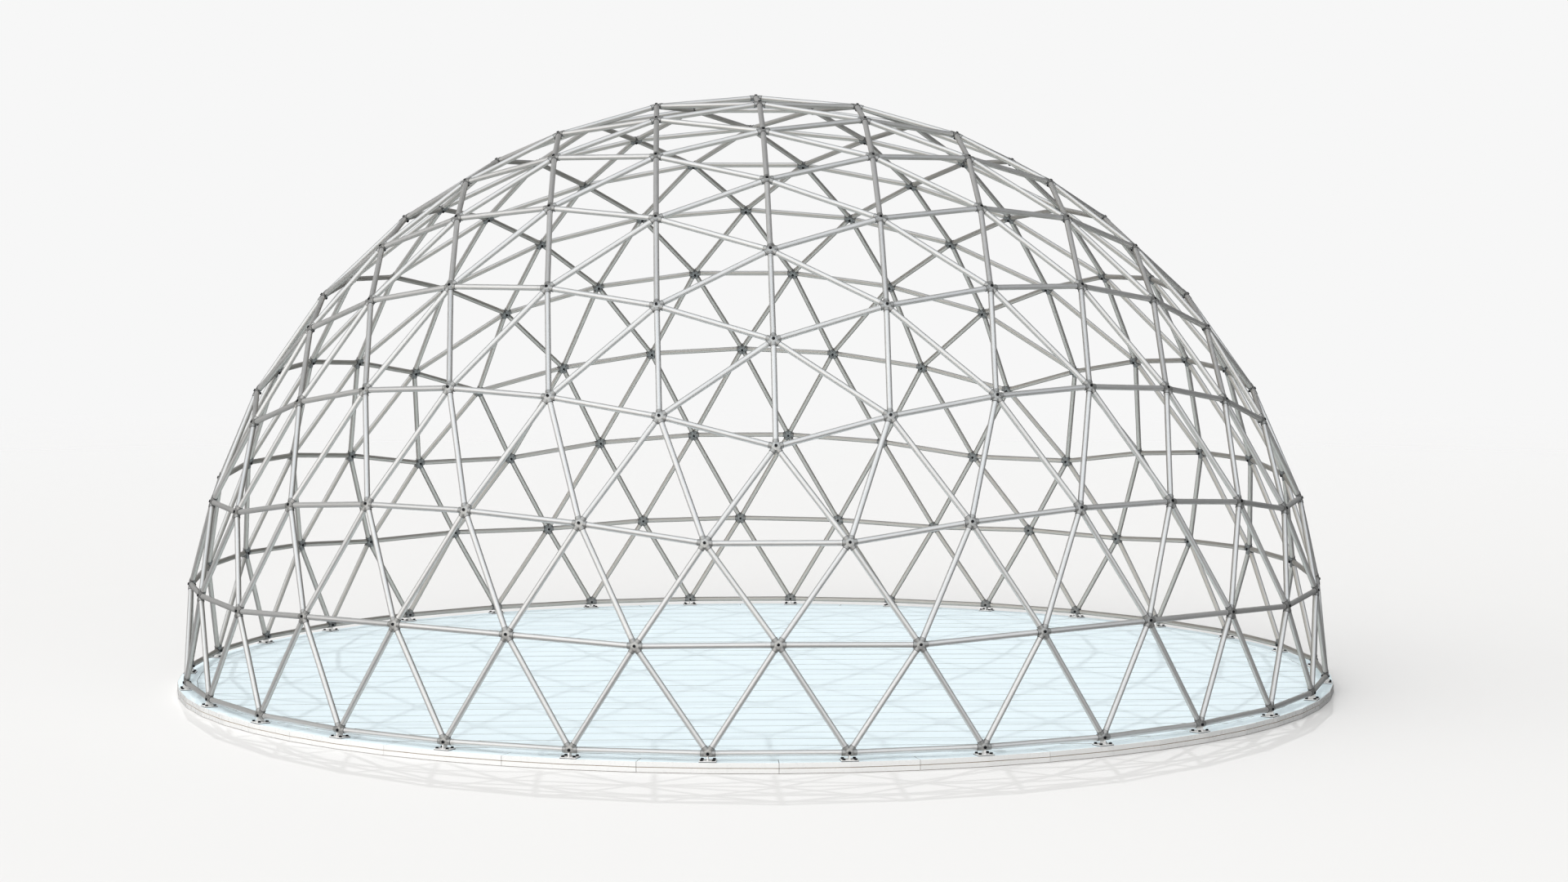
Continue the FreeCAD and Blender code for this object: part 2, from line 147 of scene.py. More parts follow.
class ClimberSizes(bpy.types.PropertyGroup):
    """Sizes of the climber's pieces"""

    dome_radius: length("Dome Radius", "Sphere through the hub centres", 3.0)
    dome_height: length("Centre Height", "Centre of the dome above the ground", CENTRE_HEIGHT)
    pipe_diameter: length("Pipe Diameter", "Outside diameter of every strut", PIPE_DIAMETER)
    pipe_end: length("Pipe End", "Hub centre to the end of each pipe", 0.02997)
    pipe_sides: count("Pipe Sides", "Faces round a pipe", 24)
    socket_mouth: length("Socket Mouth", "Hub centre to the mouth of each socket", 0.03207)
    socket_diameter: length("Socket Diameter", "Outside diameter of a hub's arms", 0.0305)
    sealant_width: length("Sealant Width", "Bead of sealant at each socket, along the pipe", 0.0016)
    sealant_sides: count("Sealant Sides", "Faces round a bead", 18)
    window_apothem: length("Hub Window", "Hub centre to the inner end of each arm", 0.0142)
    cap_top: length("Cap Top", "Top of a cap above the hub's middle", 0.01495)
    bolt_diameter: length("Bolt Diameter", "Shank of every bolt", 0.008)
    bolt_flats: length("Bolt Flats", "Across the flats of heads and nuts", 0.013)
    head_height: length("Head Height", "Height of a bolt head", 0.0053)
    nut_height: length("Nut Height", "Height of a nut", 0.0068)
    bolt_tip: length("Bolt Tip", "Thread past the nut", 0.002)
    spigot_diameter: length("Spigot Diameter", "Spigot at each pipe end", 0.008)
    spigot_neck: length("Spigot Neck", "Neck that a cap's lip drops into", 0.005)
    spigot_tip: length("Spigot Tip", "Hub centre to the tip of a spigot", 0.0096)
    spigot_flange: length("Spigot Flange", "Full diameter beyond the neck", 0.002)
    plug_length: length("Plug Length", "Plug inside the pipe", 0.02)
    plug_diameter: length("Plug Diameter", "Plug inside the pipe", 0.0215)
    foot_width: length("Foot Width", "Foot plate along the rim", 0.078)
    foot_depth: length("Foot Depth", "Foot plate across the rim", 0.066)
    pad_thickness: length("Pad Thickness", "Rubber pad under a foot plate", 0.0028)
    plate_thickness: length("Plate Thickness", "Foot plate", 0.0032)
    web_thickness: length("Web Thickness", "Upright web of a foot", 0.005)
    web_depth: length("Web Depth", "Web across the rim", 0.036)
    anchor_spacing_width: length("Anchor Spacing Along", "Between anchors along the rim", 0.054)
    anchor_spacing_depth: length("Anchor Spacing Across", "Between anchors across the rim", 0.042)
    anchor_length: length("Anchor Length", "Shank of an anchor bolt", 0.045)
    washer_diameter: length("Washer Diameter", "Washer under an anchor bolt", 0.016)
    washer_thickness: length("Washer Thickness", "Washer under an anchor bolt", 0.0016)
    rim_reach: length("Rim Reach", "Rim corners beyond the hub centres", 0.04)
    ring_width: length("Border Width", "Border ring of the deck", 0.1)
    band_thickness: length("Band Thickness", "Edge band round the rim", 0.003)
    band_seam: length("Band Seam", "Half of the groove between the edge bands", 0.0015)
    ring_joint: length("Ring Joint", "Gap between the lengths of the rim", 0.002)
    plank_count: count("Planks", "Planks from front to back", 30)
    plank_gap: length("Plank Gap", "Gap between planks", 0.008)
    joist_count: count("Joists", "Joists from side to side", 15)
    joist_width: length("Joist Width", "Width of a joist", 0.09)
    deck_clearance: length("Deck Clearance", "Planks and joists to the border ring", 0.002)
    edge_round: length("Board Rounding", "Rounded edge of a plank", 0.0022)


class ClimberColours(bpy.types.PropertyGroup):
    """Colours of the climber's finishes"""

    pipe: colour("Pipe Zinc", "Galvanised steel of the pipes", (0.83, 0.825, 0.81))
    pipe_cool: colour("Pipe Zinc Cool", "Second tone of the zinc on the pipes", (0.73, 0.735, 0.74))
    # Painted shade: this darker zinc colour goes on the faces that look into the dome.
    pipe_inside_shade: colour("Pipe Zinc Inside", "Duller zinc that faces into the dome", (0.51, 0.485, 0.45))
    hub: colour("Hub Casting", "Cast aluminium of the hubs", (0.50, 0.50, 0.49))
    cap: colour("Cap Casting", "Cast aluminium of the hub caps", (0.60, 0.60, 0.585))
    fastener: colour("Fastener Black", "Black oxide on bolts, nuts and washers", (0.014, 0.015, 0.018))
    rubber: colour("Rubber", "Sealant and foot pads", (0.022, 0.023, 0.025))
    plug: colour("Plug Steel", "Bare steel of the spigots", (0.52, 0.52, 0.53))
    foot: colour("Foot Paint", "Paint on the foot plates and webs", (0.78, 0.785, 0.78))
    deck: colour("Deck Paint", "Paint on the planks and the border ring", (0.76, 0.875, 0.935))
    deck_pale: colour("Deck Paint Pale", "Worn tone of the deck paint", (0.80, 0.91, 0.96))
    # Partly bare sawn edge and partly painted shade: darker than the raw timber, so the gaps between the
    # boards look shaded.
    board_edge_shade: colour("Board Edges", "Bare sawn edges of the planks", (0.20, 0.17, 0.13))
    edge: colour("Edge Band", "Laminate of the edge bands", (0.86, 0.865, 0.86))
    timber: colour("Timber", "Raw timber under the deck", (0.50, 0.36, 0.22))
    timber_dark: colour("Timber Dark", "Late wood of the timber", (0.30, 0.19, 0.10))


class ClimberStage(bpy.types.PropertyGroup):
    """Camera, light and floor"""

    camera_place: bpy.props.FloatVectorProperty(
        name="Camera",
        description="Camera's place",
        default=(-0.5829, -17.543, 2.4549),
        size=3,
        subtype="TRANSLATION",
    )
    camera_yaw: angle("Camera Yaw", "Turn from +Y towards +X", 0.04166)
    camera_pitch: angle("Camera Pitch", "Tilt above the horizon", -0.06737)
    camera_lens: bpy.props.FloatProperty(
        name="Lens",
        description="Focal length on a 36 mm sensor",
        default=76.05,
        min=1.0,
        subtype="DISTANCE_CAMERA",
    )
    sun_azimuth: angle("Sun Azimuth", "Where the sun stands, from +X towards +Y", math.radians(89.4))
    sun_height: angle("Sun Height", "Sun above the horizon", math.radians(53.3))
    sun_strength: share("Sun Strength", "Irradiance of the sun", 0.70, 20.0)
    sun_angle: angle("Sun Size", "Angular size of the sun, which softens shadows", math.radians(0.5))
    window_azimuth: angle("Window Azimuth", "Middle of the bright side of the room", math.radians(-135))
    window_height: angle("Window Height", "Middle of the bright side above the horizon", math.radians(20))
    room_bright: colour("Room Bright Side", "Light from the bright side of the room", (2.60, 2.57, 2.52))
    room_dim: colour("Room Dim Side", "Light from the dim side of the room", (0.09, 0.097, 0.108))
    screen_azimuth: angle("Screen Azimuth", "Middle of the white screen", math.radians(-98))
    screen_height: angle("Screen Height", "Middle of the screen above the horizon", math.radians(15))
    screen_warm: colour("Screen", "White screen that metal mirrors", (0.95, 0.935, 0.91))
    screen_cool: colour("Screen Right", "Cooler right side of the screen", (0.62, 0.67, 0.72))
    screen_top: colour("Screen Top", "Sky-blue top of the screen", (0.80, 0.87, 0.94))
    curtain: share("Curtain", "Brightness of the dark curtain beside the screen", 0.05, 2.0)
    backdrop: colour("Backdrop", "Plain backdrop", (0.93, 0.93, 0.93))
    floor: colour("Floor", "Plain pale floor", (0.735, 0.735, 0.735))
    floor_bounce: colour("Floor Bounce", "Floor as it lights the climber", (0.30, 0.30, 0.30))
    floor_mirrored: colour("Floor In Metal", "Floor as metal mirrors it", (0.08, 0.08, 0.08))
    floor_radius: length("Floor Radius", "Where the floor has faded into the backdrop", 26.0)


# --- net of the dome ---


def on_sphere(latitude, azimuth):
    """Unit vector at a latitude and azimuth."""
    flat = math.cos(latitude)
    return Vector((flat * math.cos(azimuth), flat * math.sin(azimuth), math.sin(latitude)))


def along_arc(start, end, part):
    """Point at a part of the great arc from one unit vector to another."""
    whole = start.angle(end)
    return (start * math.sin((1 - part) * whole) + end * math.sin(part * whole)) / math.sin(whole)


def icosahedron_faces():
    """Faces that reach above the equator, each with the ring number of its apex and the step of a row."""
    latitude = math.atan(0.5)  # of the five corners nearest the crown
    step = 2 * math.pi / SECTORS
    front = -math.pi / 2
    upper = [on_sphere(latitude, front + step * k) for k in range(SECTORS)]
    lower = [on_sphere(-latitude, front + step * (k + 0.5)) for k in range(SECTORS)]
    faces = []
    for k in range(SECTORS):
        after = (k + 1) % SECTORS
        faces.append((UP, upper[k], upper[after], 0, 1))
        faces.append((upper[k], lower[k - 1], lower[k], FREQUENCY, 1))
        faces.append((lower[k], upper[k], upper[after], 2 * FREQUENCY, -1))
    return faces


def dome_net():
    """Hubs as {key: (unit vector, ring)} and struts as a sorted list of key pairs."""
    hubs, struts = {}, set()
    for apex, left, right, apex_ring, step in icosahedron_faces():
        keys = {}
        for row in range(FREQUENCY + 1):
            start = along_arc(apex, left, row / FREQUENCY)
            end = along_arc(apex, right, row / FREQUENCY)
            for place in range(row + 1):
                point = along_arc(start, end, place / row) if row else apex
                if point.z > -1e-6:
                    key = tuple(round(value, 4) + 0.0 for value in point)
                    keys[row, place] = key
                    hubs.setdefault(key, (point, apex_ring + step * row))
        for (row, place), key in keys.items():
            for other in ((row, place + 1), (row + 1, place), (row + 1, place + 1)):
                if other in keys:
                    struts.add(tuple(sorted((key, keys[other]))))
    return hubs, sorted(struts)


class Net:
    """Hub centres, outward normals, struts and the height of each hub's middle."""

    def __init__(self, sizes):
        hubs, struts = dome_net()
        centre = Vector((0, 0, sizes.dome_height))
        self.place = {key: centre + point * sizes.dome_radius for key, (point, _) in hubs.items()}
        self.normal = {key: point for key, (point, _) in hubs.items()}
        self.ring = {key: ring for key, (_, ring) in hubs.items()}
        self.struts = struts
        slopes = {key: [] for key in hubs}
        for one, other in struts:
            for here, there in ((one, other), (other, one)):
                direction = (self.place[there] - self.place[here]).normalized()
                sink = -direction.dot(self.normal[here])
                slopes[here].append(sink / math.sqrt(1 - sink**2))
        self.middle = {key: -sizes.window_apothem * sum(found) / len(found) for key, found in slopes.items()}

    def hub_point(self, key, height):
        """Point on a hub's axis at a height from its middle."""
        return self.place[key] + self.normal[key] * (self.middle[key] + height)

    def strut_ends(self, inset):
        """Both ends of every strut as (point, direction into the strut), inset from the hub centres."""
        ends = []
        for one, other in self.struts:
            direction = (self.place[other] - self.place[one]).normalized()
            ends.append((self.place[one] + direction * inset, direction))
            ends.append((self.place[other] - direction * inset, -direction))
        return ends


# --- node trees ---


class Graph:
    """Short calls that add nodes to a tree and join them."""

    def __init__(self, tree):
        self.tree = tree

    def add(self, kind, inputs=None, **settings):
        """New node with its settings, whose inputs are values or other sockets."""
        node = self.tree.nodes.new(kind)
        for key, value in settings.items():
            setattr(node, key, value)
        for key, value in (inputs or {}).items():
            if isinstance(value, bpy.types.NodeSocket):
                self.tree.links.new(value, node.inputs[key])
            else:
                node.inputs[key].default_value = value
        return node

    def math(self, operation, *values):
        """Result of a Math node."""
        node = self.add("ShaderNodeMath", dict(enumerate(values)), operation=operation)
        return node.outputs[0]

    def times(self, one, other):
        """Product of two values."""
        return self.math("MULTIPLY", one, other)

    def plus(self, one, other):
        """Sum of two values."""
        return self.math("ADD", one, other)

    def dot(self, one, other):
        """Dot product of two vectors."""
        node = self.add("ShaderNodeVectorMath", {0: one, 1: other}, operation="DOT_PRODUCT")
        return node.outputs["Value"]

    def place(self):
        """Object coordinates of a surface."""
        return self.add("ShaderNodeTexCoord").outputs["Object"]

    def normal(self):
        """Direction that a surface faces."""
        return self.add("ShaderNodeNewGeometry").outputs["Normal"]

    def store(self, geometry, name, value, domain):
        """Geometry with a number stored on it under a name."""
        node = self.add(
            "GeometryNodeStoreNamedAttribute",
            {"Geometry": geometry, "Name": name, "Value": value},
            data_type="FLOAT",
            domain=domain,
        )
        return node.outputs[0]

    def stored(self, name):
        """Number stored on a surface under a name."""
        return self.add("ShaderNodeAttribute", attribute_name=name).outputs["Fac"]

    def give(self, result, values):
        """Joins values to the named sockets of a node."""
        for name, value in values.items():
            self.tree.links.new(value, result[name])

    def chance(self, seed):
        """Random number from 0 to 1 for each element of a geometry."""
        node = self.add("FunctionNodeRandomValue", {"Seed": seed}, data_type="FLOAT")
        return next(socket for socket in node.outputs if socket.enabled)


def new_group(name, kind, inputs, outputs):
    """Node group with named sockets, given as (name, socket type, default)."""
    tree = bpy.data.node_groups.new(name, kind)
    for socket_name, socket_type, default in inputs:
        socket = tree.interface.new_socket(name=socket_name, in_out="INPUT", socket_type=socket_type)
        if default is not None:
            socket.default_value = default
    for socket_name, socket_type in outputs:
        tree.interface.new_socket(name=socket_name, in_out="OUTPUT", socket_type=socket_type)
    graph = Graph(tree)
    return graph, graph.add("NodeGroupInput").outputs, graph.add("NodeGroupOutput").inputs


def shared_group(name, maker):
    """A node group, built the first time that it is asked for."""
    return bpy.data.node_groups.get(name) or maker()


def close_tree(graph, geometry, given, result):
    """Realizes the instances, sets the material and joins the group's output."""
    real = graph.add("GeometryNodeRealizeInstances", {"Geometry": geometry})
    values = {"Geometry": real.outputs[0], "Material": given["Material"]}
    painted = graph.add("GeometryNodeSetMaterial", values)
    graph.give(result, {"Geometry": painted.outputs[0]})


def tubes_tree():
    """Tubes along loose edges, each with its own random tint and its length from end to end."""
    graph, given, result = new_group(
        "Tubes Along Struts",
        "GeometryNodeTree",
        (
            ("Geometry", "NodeSocketGeometry", None),
            ("Diameter", "NodeSocketFloat", 0.027),
            ("Sides", "NodeSocketInt", 24),
            ("Seed", "NodeSocketInt", 1),
            ("Material", "NodeSocketMaterial", None),
        ),
        (("Geometry", "NodeSocketGeometry"),),
    )
    lines = graph.add("GeometryNodeMeshToCurve", {"Mesh": given["Geometry"]})
    tinted = graph.store(lines.outputs[0], "tint", graph.chance(given["Seed"]), "CURVE")
    factor = graph.add("GeometryNodeSplineParameter").outputs["Factor"]
    measured = graph.store(tinted, "along", factor, "POINT")
    radius = graph.times(given["Diameter"], 0.5)
    circle = graph.add("GeometryNodeCurvePrimitiveCircle", {"Resolution": given["Sides"], "Radius": radius})
    tubes = graph.add(
        "GeometryNodeCurveToMesh",
        {"Curve": measured, "Profile Curve": circle.outputs[0], "Fill Caps": True},
    )
    close_tree(graph, tubes.outputs[0], given, result)
    return graph.tree


def placed_parts_tree():
    """Copies of a part on points, stood along each point's axis and spun by its spin and a random share."""
    graph, given, result = new_group(
        "Placed Parts",
        "GeometryNodeTree",
        (
            ("Geometry", "NodeSocketGeometry", None),
            ("Part", "NodeSocketObject", None),
            ("Random Spin", "NodeSocketFloat", 0.0),
            ("Seed", "NodeSocketInt", 1),
            ("Material", "NodeSocketMaterial", None),
        ),
        (("Geometry", "NodeSocketGeometry"),),
    )
    part = graph.add("GeometryNodeObjectInfo", {"Object": given["Part"], "As Instance": True})
    axis = graph.add("GeometryNodeInputNamedAttribute", {"Name": "axis"}, data_type="FLOAT_VECTOR")
    spin = graph.add("GeometryNodeInputNamedAttribute", {"Name": "spin"}, data_type="FLOAT")
    loose = graph.times(graph.chance(given["Seed"]), given["Random Spin"])
    turn = graph.plus(spin.outputs["Attribute"], loose)
    stood = graph.add("FunctionNodeAlignRotationToVector", {"Vector": axis.outputs["Attribute"]}, axis="Z")
    spun = graph.add("FunctionNodeAxisAngleToRotation", {"Axis": (0.0, 0.0, 1.0), "Angle": turn})
    both = graph.add(
        "FunctionNodeRotateRotation",
        {"Rotation": stood.outputs[0], "Rotate By": spun.outputs[0]},
        rotation_space="LOCAL",
    )
    copies = graph.add(
        "GeometryNodeInstanceOnPoints",
        {"Points": given["Geometry"], "Instance": part.outputs["Geometry"], "Rotation": both.outputs[0]},
    )
    close_tree(graph, copies.outputs[0], given, result)
    return graph.tree


def boards_tree():
    """Boards raised from flat outlines, each with its own random tint."""
    graph, given, result = new_group(
        "Boards From Outlines",
        "GeometryNodeTree",
        (
            ("Geometry", "NodeSocketGeometry", None),
            ("Thickness", "NodeSocketFloat", 0.024),
            ("Seed", "NodeSocketInt", 1),
            ("Material", "NodeSocketMaterial", None),
        ),
        (("Geometry", "NodeSocketGeometry"),),
    )
    tinted = graph.store(given["Geometry"], "tint", graph.chance(given["Seed"]), "FACE")
    rise = graph.add("ShaderNodeCombineXYZ", {"Z": given["Thickness"]})
    raised = graph.add(
        "GeometryNodeExtrudeMesh",
        {"Mesh": tinted, "Offset": rise.outputs[0], "Offset Scale": 1.0, "Individual": False},
        mode="FACES",
    )
    under = graph.add("GeometryNodeFlipFaces", {"Mesh": tinted})
    joined = graph.add("GeometryNodeJoinGeometry")
    graph.tree.links.new(under.outputs[0], joined.inputs[0])
    graph.tree.links.new(raised.outputs["Mesh"], joined.inputs[0])
    values = {"Geometry": joined.outputs[0], "Distance": BOARD_MERGE}
    closed = graph.add("GeometryNodeMergeByDistance", values)
    close_tree(graph, closed.outputs[0], given, result)
    return graph.tree


def finish_piece(piece, slot, *nodes):
    """Puts a finished piece on the climber's body, in place of any CAD nodes."""
    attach(piece, BODY)
    if nodes:
        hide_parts(*nodes)


def link_mesh(name, mesh):
    """Object for a mesh, in the scene."""
    piece = bpy.data.objects.new(name, mesh)
    bpy.context.scene.collection.objects.link(piece)
    return piece


def grow(name, mesh, tree, values, rounding=0.0):
    """Runs a node tree on a mesh with named values, rounds the edges and keeps a plain mesh."""
    source = link_mesh(name + "_source", mesh)
    modifier = source.modifiers.new("Nodes", "NODES")
    modifier.node_group = tree
    for item in tree.interface.items_tree:
        if item.in_out == "INPUT" and item.name in values:
            modifier[item.identifier] = values[item.name]
    if rounding:
        bevel = source.modifiers.new("Rounding", "BEVEL")
        bevel.width = rounding
        bevel.segments = 2
        bevel.limit_method = "ANGLE"
        bevel.angle_limit = math.radians(40)
    depsgraph = bpy.context.evaluated_depsgraph_get()
    result = bpy.data.meshes.new_from_object(source.evaluated_get(depsgraph), depsgraph=depsgraph)
    source.modifiers.clear()
    bpy.data.objects.remove(source)
    if not result.polygons:
        raise RuntimeError(f"{name} came out empty")
    piece = link_mesh(name, result)
    result.name = name
    return piece


def points_mesh(points):
    """Mesh of loose points, given as (place, axis, spin)."""
    mesh = bpy.data.meshes.new("points")
    mesh.from_pydata([place for place, _, _ in points], [], [])
    mesh.attributes.new("axis", "FLOAT_VECTOR", "POINT")
    mesh.attributes.new("spin", "FLOAT", "POINT")
    mesh.attributes["axis"].data.foreach_set("vector", [value for _, axis, _ in points for value in axis])
    mesh.attributes["spin"].data.foreach_set("value", [spin for _, _, spin in points])
    return mesh


def place_parts(name, part_mesh, points, material, random_spin=0.0, seed=1):
    """Copies of a part on points, as one piece."""
    part = link_mesh(name + "_part", part_mesh)
    values = {"Part": part, "Random Spin": random_spin, "Seed": seed, "Material": material}
    piece = grow(name, points_mesh(points), shared_group("Placed Parts", placed_parts_tree), values)
    bpy.data.objects.remove(part)
    return piece


# --- mesh code for single parts ---


def mesh_from(name, bm, crease=math.radians(35)):
    """Mesh from a bmesh, smooth but for the edges sharper than the crease."""
    bmesh.ops.remove_doubles(bm, verts=bm.verts, dist=MERGE)
    bmesh.ops.recalc_face_normals(bm, faces=bm.faces)
    for face in bm.faces:
        face.smooth = True
    for edge in bm.edges:
        if len(edge.link_faces) == 2 and edge.calc_face_angle() > crease:
            edge.smooth = False
    mesh = bpy.data.meshes.new(name)
    bm.to_mesh(mesh)
    bm.free()
    return mesh


def add_lathe(bm, profile, sides, closed=False):
    """Surface of revolution about Z: profile lists (radius, height). Points on the axis close the ends."""
    rings = []
    for radius, height in profile:
        if radius < MERGE:
            rings.append([bm.verts.new((0, 0, height))] * sides)
            continue
        turns = [2 * math.pi * k / sides for k in range(sides)]
        rings.append([bm.verts.new((radius * math.cos(t), radius * math.sin(t), height)) for t in turns])
    pairs = list(zip(rings, rings[1:]))
    if closed:
        pairs.append((rings[-1], rings[0]))
    for one, other in pairs:
        for k in range(sides):
            j = (k + 1) % sides
            corners = []
            for vert in (one[k], one[j], other[j], other[k]):
                if vert not in corners:
                    corners.append(vert)
            bm.faces.new(corners)


def add_hexagon(bm, flats, top):
    """Hexagonal head or nut that stands at height 0, with its top corners turned off."""
    corner = flats / math.sqrt(3)
    crown = 0.47 * flats  # radius of the flat top
    low, high, rim = [], [], []
    for k in range(12):
        t = math.pi * k / 6
        x, y = math.cos(t), math.sin(t)
        reach = corner if k % 2 == 0 else flats / 2
        drop = HEX_CHAMFER if k % 2 == 0 else 0.25 * HEX_CHAMFER
        low.append(bm.verts.new((reach * x, reach * y, 0.0)))
        high.append(bm.verts.new((reach * x, reach * y, top - drop)))
        rim.append(bm.verts.new((crown * x, crown * y, top)))
    for k in range(12):
        j = (k + 1) % 12
        bm.faces.new((low[k], low[j], high[j], high[k]))
        bm.faces.new((high[k], high[j], rim[j], rim[k]))
    bm.faces.new(low[::-1])
    bm.faces.new(rim)


def rounded_box(size, corner_radius, edge, bottom):
    """Box about the Z axis with rounded upright corners and softened edges."""
    bm = bmesh.new()
    bmesh.ops.create_cube(bm, size=1.0)
    for vert in bm.verts:
        x, y, z = vert.co
        vert.co = Vector((x * size[0], y * size[1], bottom + (z + 0.5) * size[2]))
    upright = [e for e in bm.edges if abs(e.verts[0].co.z - e.verts[1].co.z) > 0.5 * size[2]]
    if corner_radius:
        bmesh.ops.bevel(bm, geom=upright, offset=corner_radius, segments=4, profile=0.5, affect="EDGES")
    flat = [e for e in bm.edges if abs(e.verts[0].co.z - e.verts[1].co.z) < MERGE]
    bmesh.ops.bevel(bm, geom=flat, offset=edge, segments=2, profile=0.5, affect="EDGES")
    return bm


# --- materials ---


FINISH = (("Colour", "NodeSocketColor"), ("Roughness", "NodeSocketFloat"), ("Height", "NodeSocketFloat"))
GRIME = (0.30, 0.29, 0.265)
OLD_STAIN = (0.20, 0.195, 0.185)


def value_noise(graph, place, scale, detail, rough):
    """Noise over object coordinates."""
    values = {"Vector": place, "Scale": scale, "Detail": detail, "Roughness": rough}
    return graph.add("ShaderNodeTexNoise", values).outputs["Fac"]


def span(graph, value, low, high, to_low=0.0, to_high=1.0):
    """Maps a value from one range to another and clamps it."""
    values = {"Value": value, "From Min": low, "From Max": high, "To Min": to_low, "To Max": to_high}
    return graph.add("ShaderNodeMapRange", values).outputs[0]


def mixed(graph, part, one, other):
    """Mix of two colours."""
    first, second, mix = 6, 7, 2  # the Mix node's sockets for colours
    node = graph.add("ShaderNodeMix", {"Factor": part, first: one, second: other}, data_type="RGBA")
    return node.outputs[mix]


def rgba(value):
    """Colour with full alpha."""
    return (value[0], value[1], value[2], 1.0)


def paint_group():
    """Powder coat: two tones, orange peel, grime that settles on upper faces, and rubbed spots."""
    graph, given, result = new_group(
        "Powder Coat",
        "ShaderNodeTree",
        (
            ("Colour", "NodeSocketColor", rgba((0.8, 0.8, 0.8))),
            ("Second Tone", "NodeSocketColor", rgba((0.7, 0.7, 0.7))),
            ("Tone Share", "NodeSocketFloat", 0.5),
            ("Grime", "NodeSocketFloat", 0.3),
            ("Gloss Roughness", "NodeSocketFloat", 0.35),
            ("Peel Scale", "NodeSocketFloat", 900.0),
        ),
        FINISH,
    )
    place = graph.place()
    broad = value_noise(graph, place, scale=3.1, detail=4.0, rough=0.6)
    fine = value_noise(graph, place, scale=46.0, detail=4.0, rough=0.65)
    peel = value_noise(graph, place, given["Peel Scale"], detail=2.0, rough=0.5)
    tone = graph.times(span(graph, broad, 0.35, 0.68), given["Tone Share"])
    base = mixed(graph, tone, given["Colour"], given["Second Tone"])
    upward = graph.dot(graph.normal(), UP)
    settled = span(graph, upward, 0.2, 1.0, to_low=0.25)
    spots = graph.times(span(graph, fine, 0.5, 0.75), settled)
    dirty = graph.times(spots, given["Grime"])
    rubbed = span(graph, fine, 0.3, 0.7, to_low=-0.05, to_high=0.09)
    rough = graph.plus(graph.plus(given["Gloss Roughness"], rubbed), graph.times(dirty, 0.5))
    graph.give(result, {"Colour": mixed(graph, dirty, base, rgba(GRIME)), "Roughness": rough, "Height": peel})
    return graph.tree


def zinc_group():
    """Galvanised or cast metal: crystals, cast grain, stains, and painted shade: a darker tone on the faces
    that look into the dome.
    """
    graph, given, result = new_group(
        "Zinc and Cast Grain",
        "ShaderNodeTree",
        (
            ("Light", "NodeSocketColor", rgba((0.8, 0.8, 0.8))),
            ("Dark", "NodeSocketColor", rgba((0.6, 0.6, 0.6))),
            ("Inside", "NodeSocketColor", rgba((0.4, 0.4, 0.4))),
            ("Crystal Scale", "NodeSocketFloat", 80.0),
            ("Crystal Share", "NodeSocketFloat", 0.5),
            ("Stain", "NodeSocketFloat", 0.3),
            ("Roughness", "NodeSocketFloat", 0.3),
            ("Grain Scale", "NodeSocketFloat", 900.0),
        ),
        FINISH,
    )
    place = graph.place()
    crystal = graph.add("ShaderNodeTexVoronoi", {"Vector": place, "Scale": given["Crystal Scale"]})
    patch = graph.add("ShaderNodeSeparateColor", {"Color": crystal.outputs["Color"]}).outputs[0]
    broad = value_noise(graph, place, scale=5.0, detail=4.0, rough=0.6)
    fine = value_noise(graph, place, scale=60.0, detail=4.0, rough=0.65)
    grain = value_noise(graph, place, given["Grain Scale"], detail=2.0, rough=0.6)
    figure = graph.times(patch, given["Crystal Share"])
    clouds = graph.times(span(graph, broad, 0.35, 0.7), 0.4)
    clean = mixed(graph, graph.plus(figure, clouds), given["Light"], given["Dark"])
    outward = graph.add("ShaderNodeVectorMath", {0: place}, operation="NORMALIZE").outputs["Vector"]
    # Painted shade: faces that look towards the middle of the dome take the darker inside colour.
    inside = span(graph, graph.dot(outward, graph.normal()), -0.5, 0.5, to_low=1.0, to_high=0.0)
    base = mixed(graph, inside, clean, given["Inside"])
    stained = graph.times(span(graph, fine, 0.5, 0.78), given["Stain"])
    dull = graph.times(graph.plus(patch, graph.times(stained, 2.0)), 0.08)
    colour_out = mixed(graph, stained, base, rgba(OLD_STAIN))
    rough = graph.plus(given["Roughness"], dull)
    graph.give(result, {"Colour": colour_out, "Roughness": rough, "Height": grain})
    return graph.tree


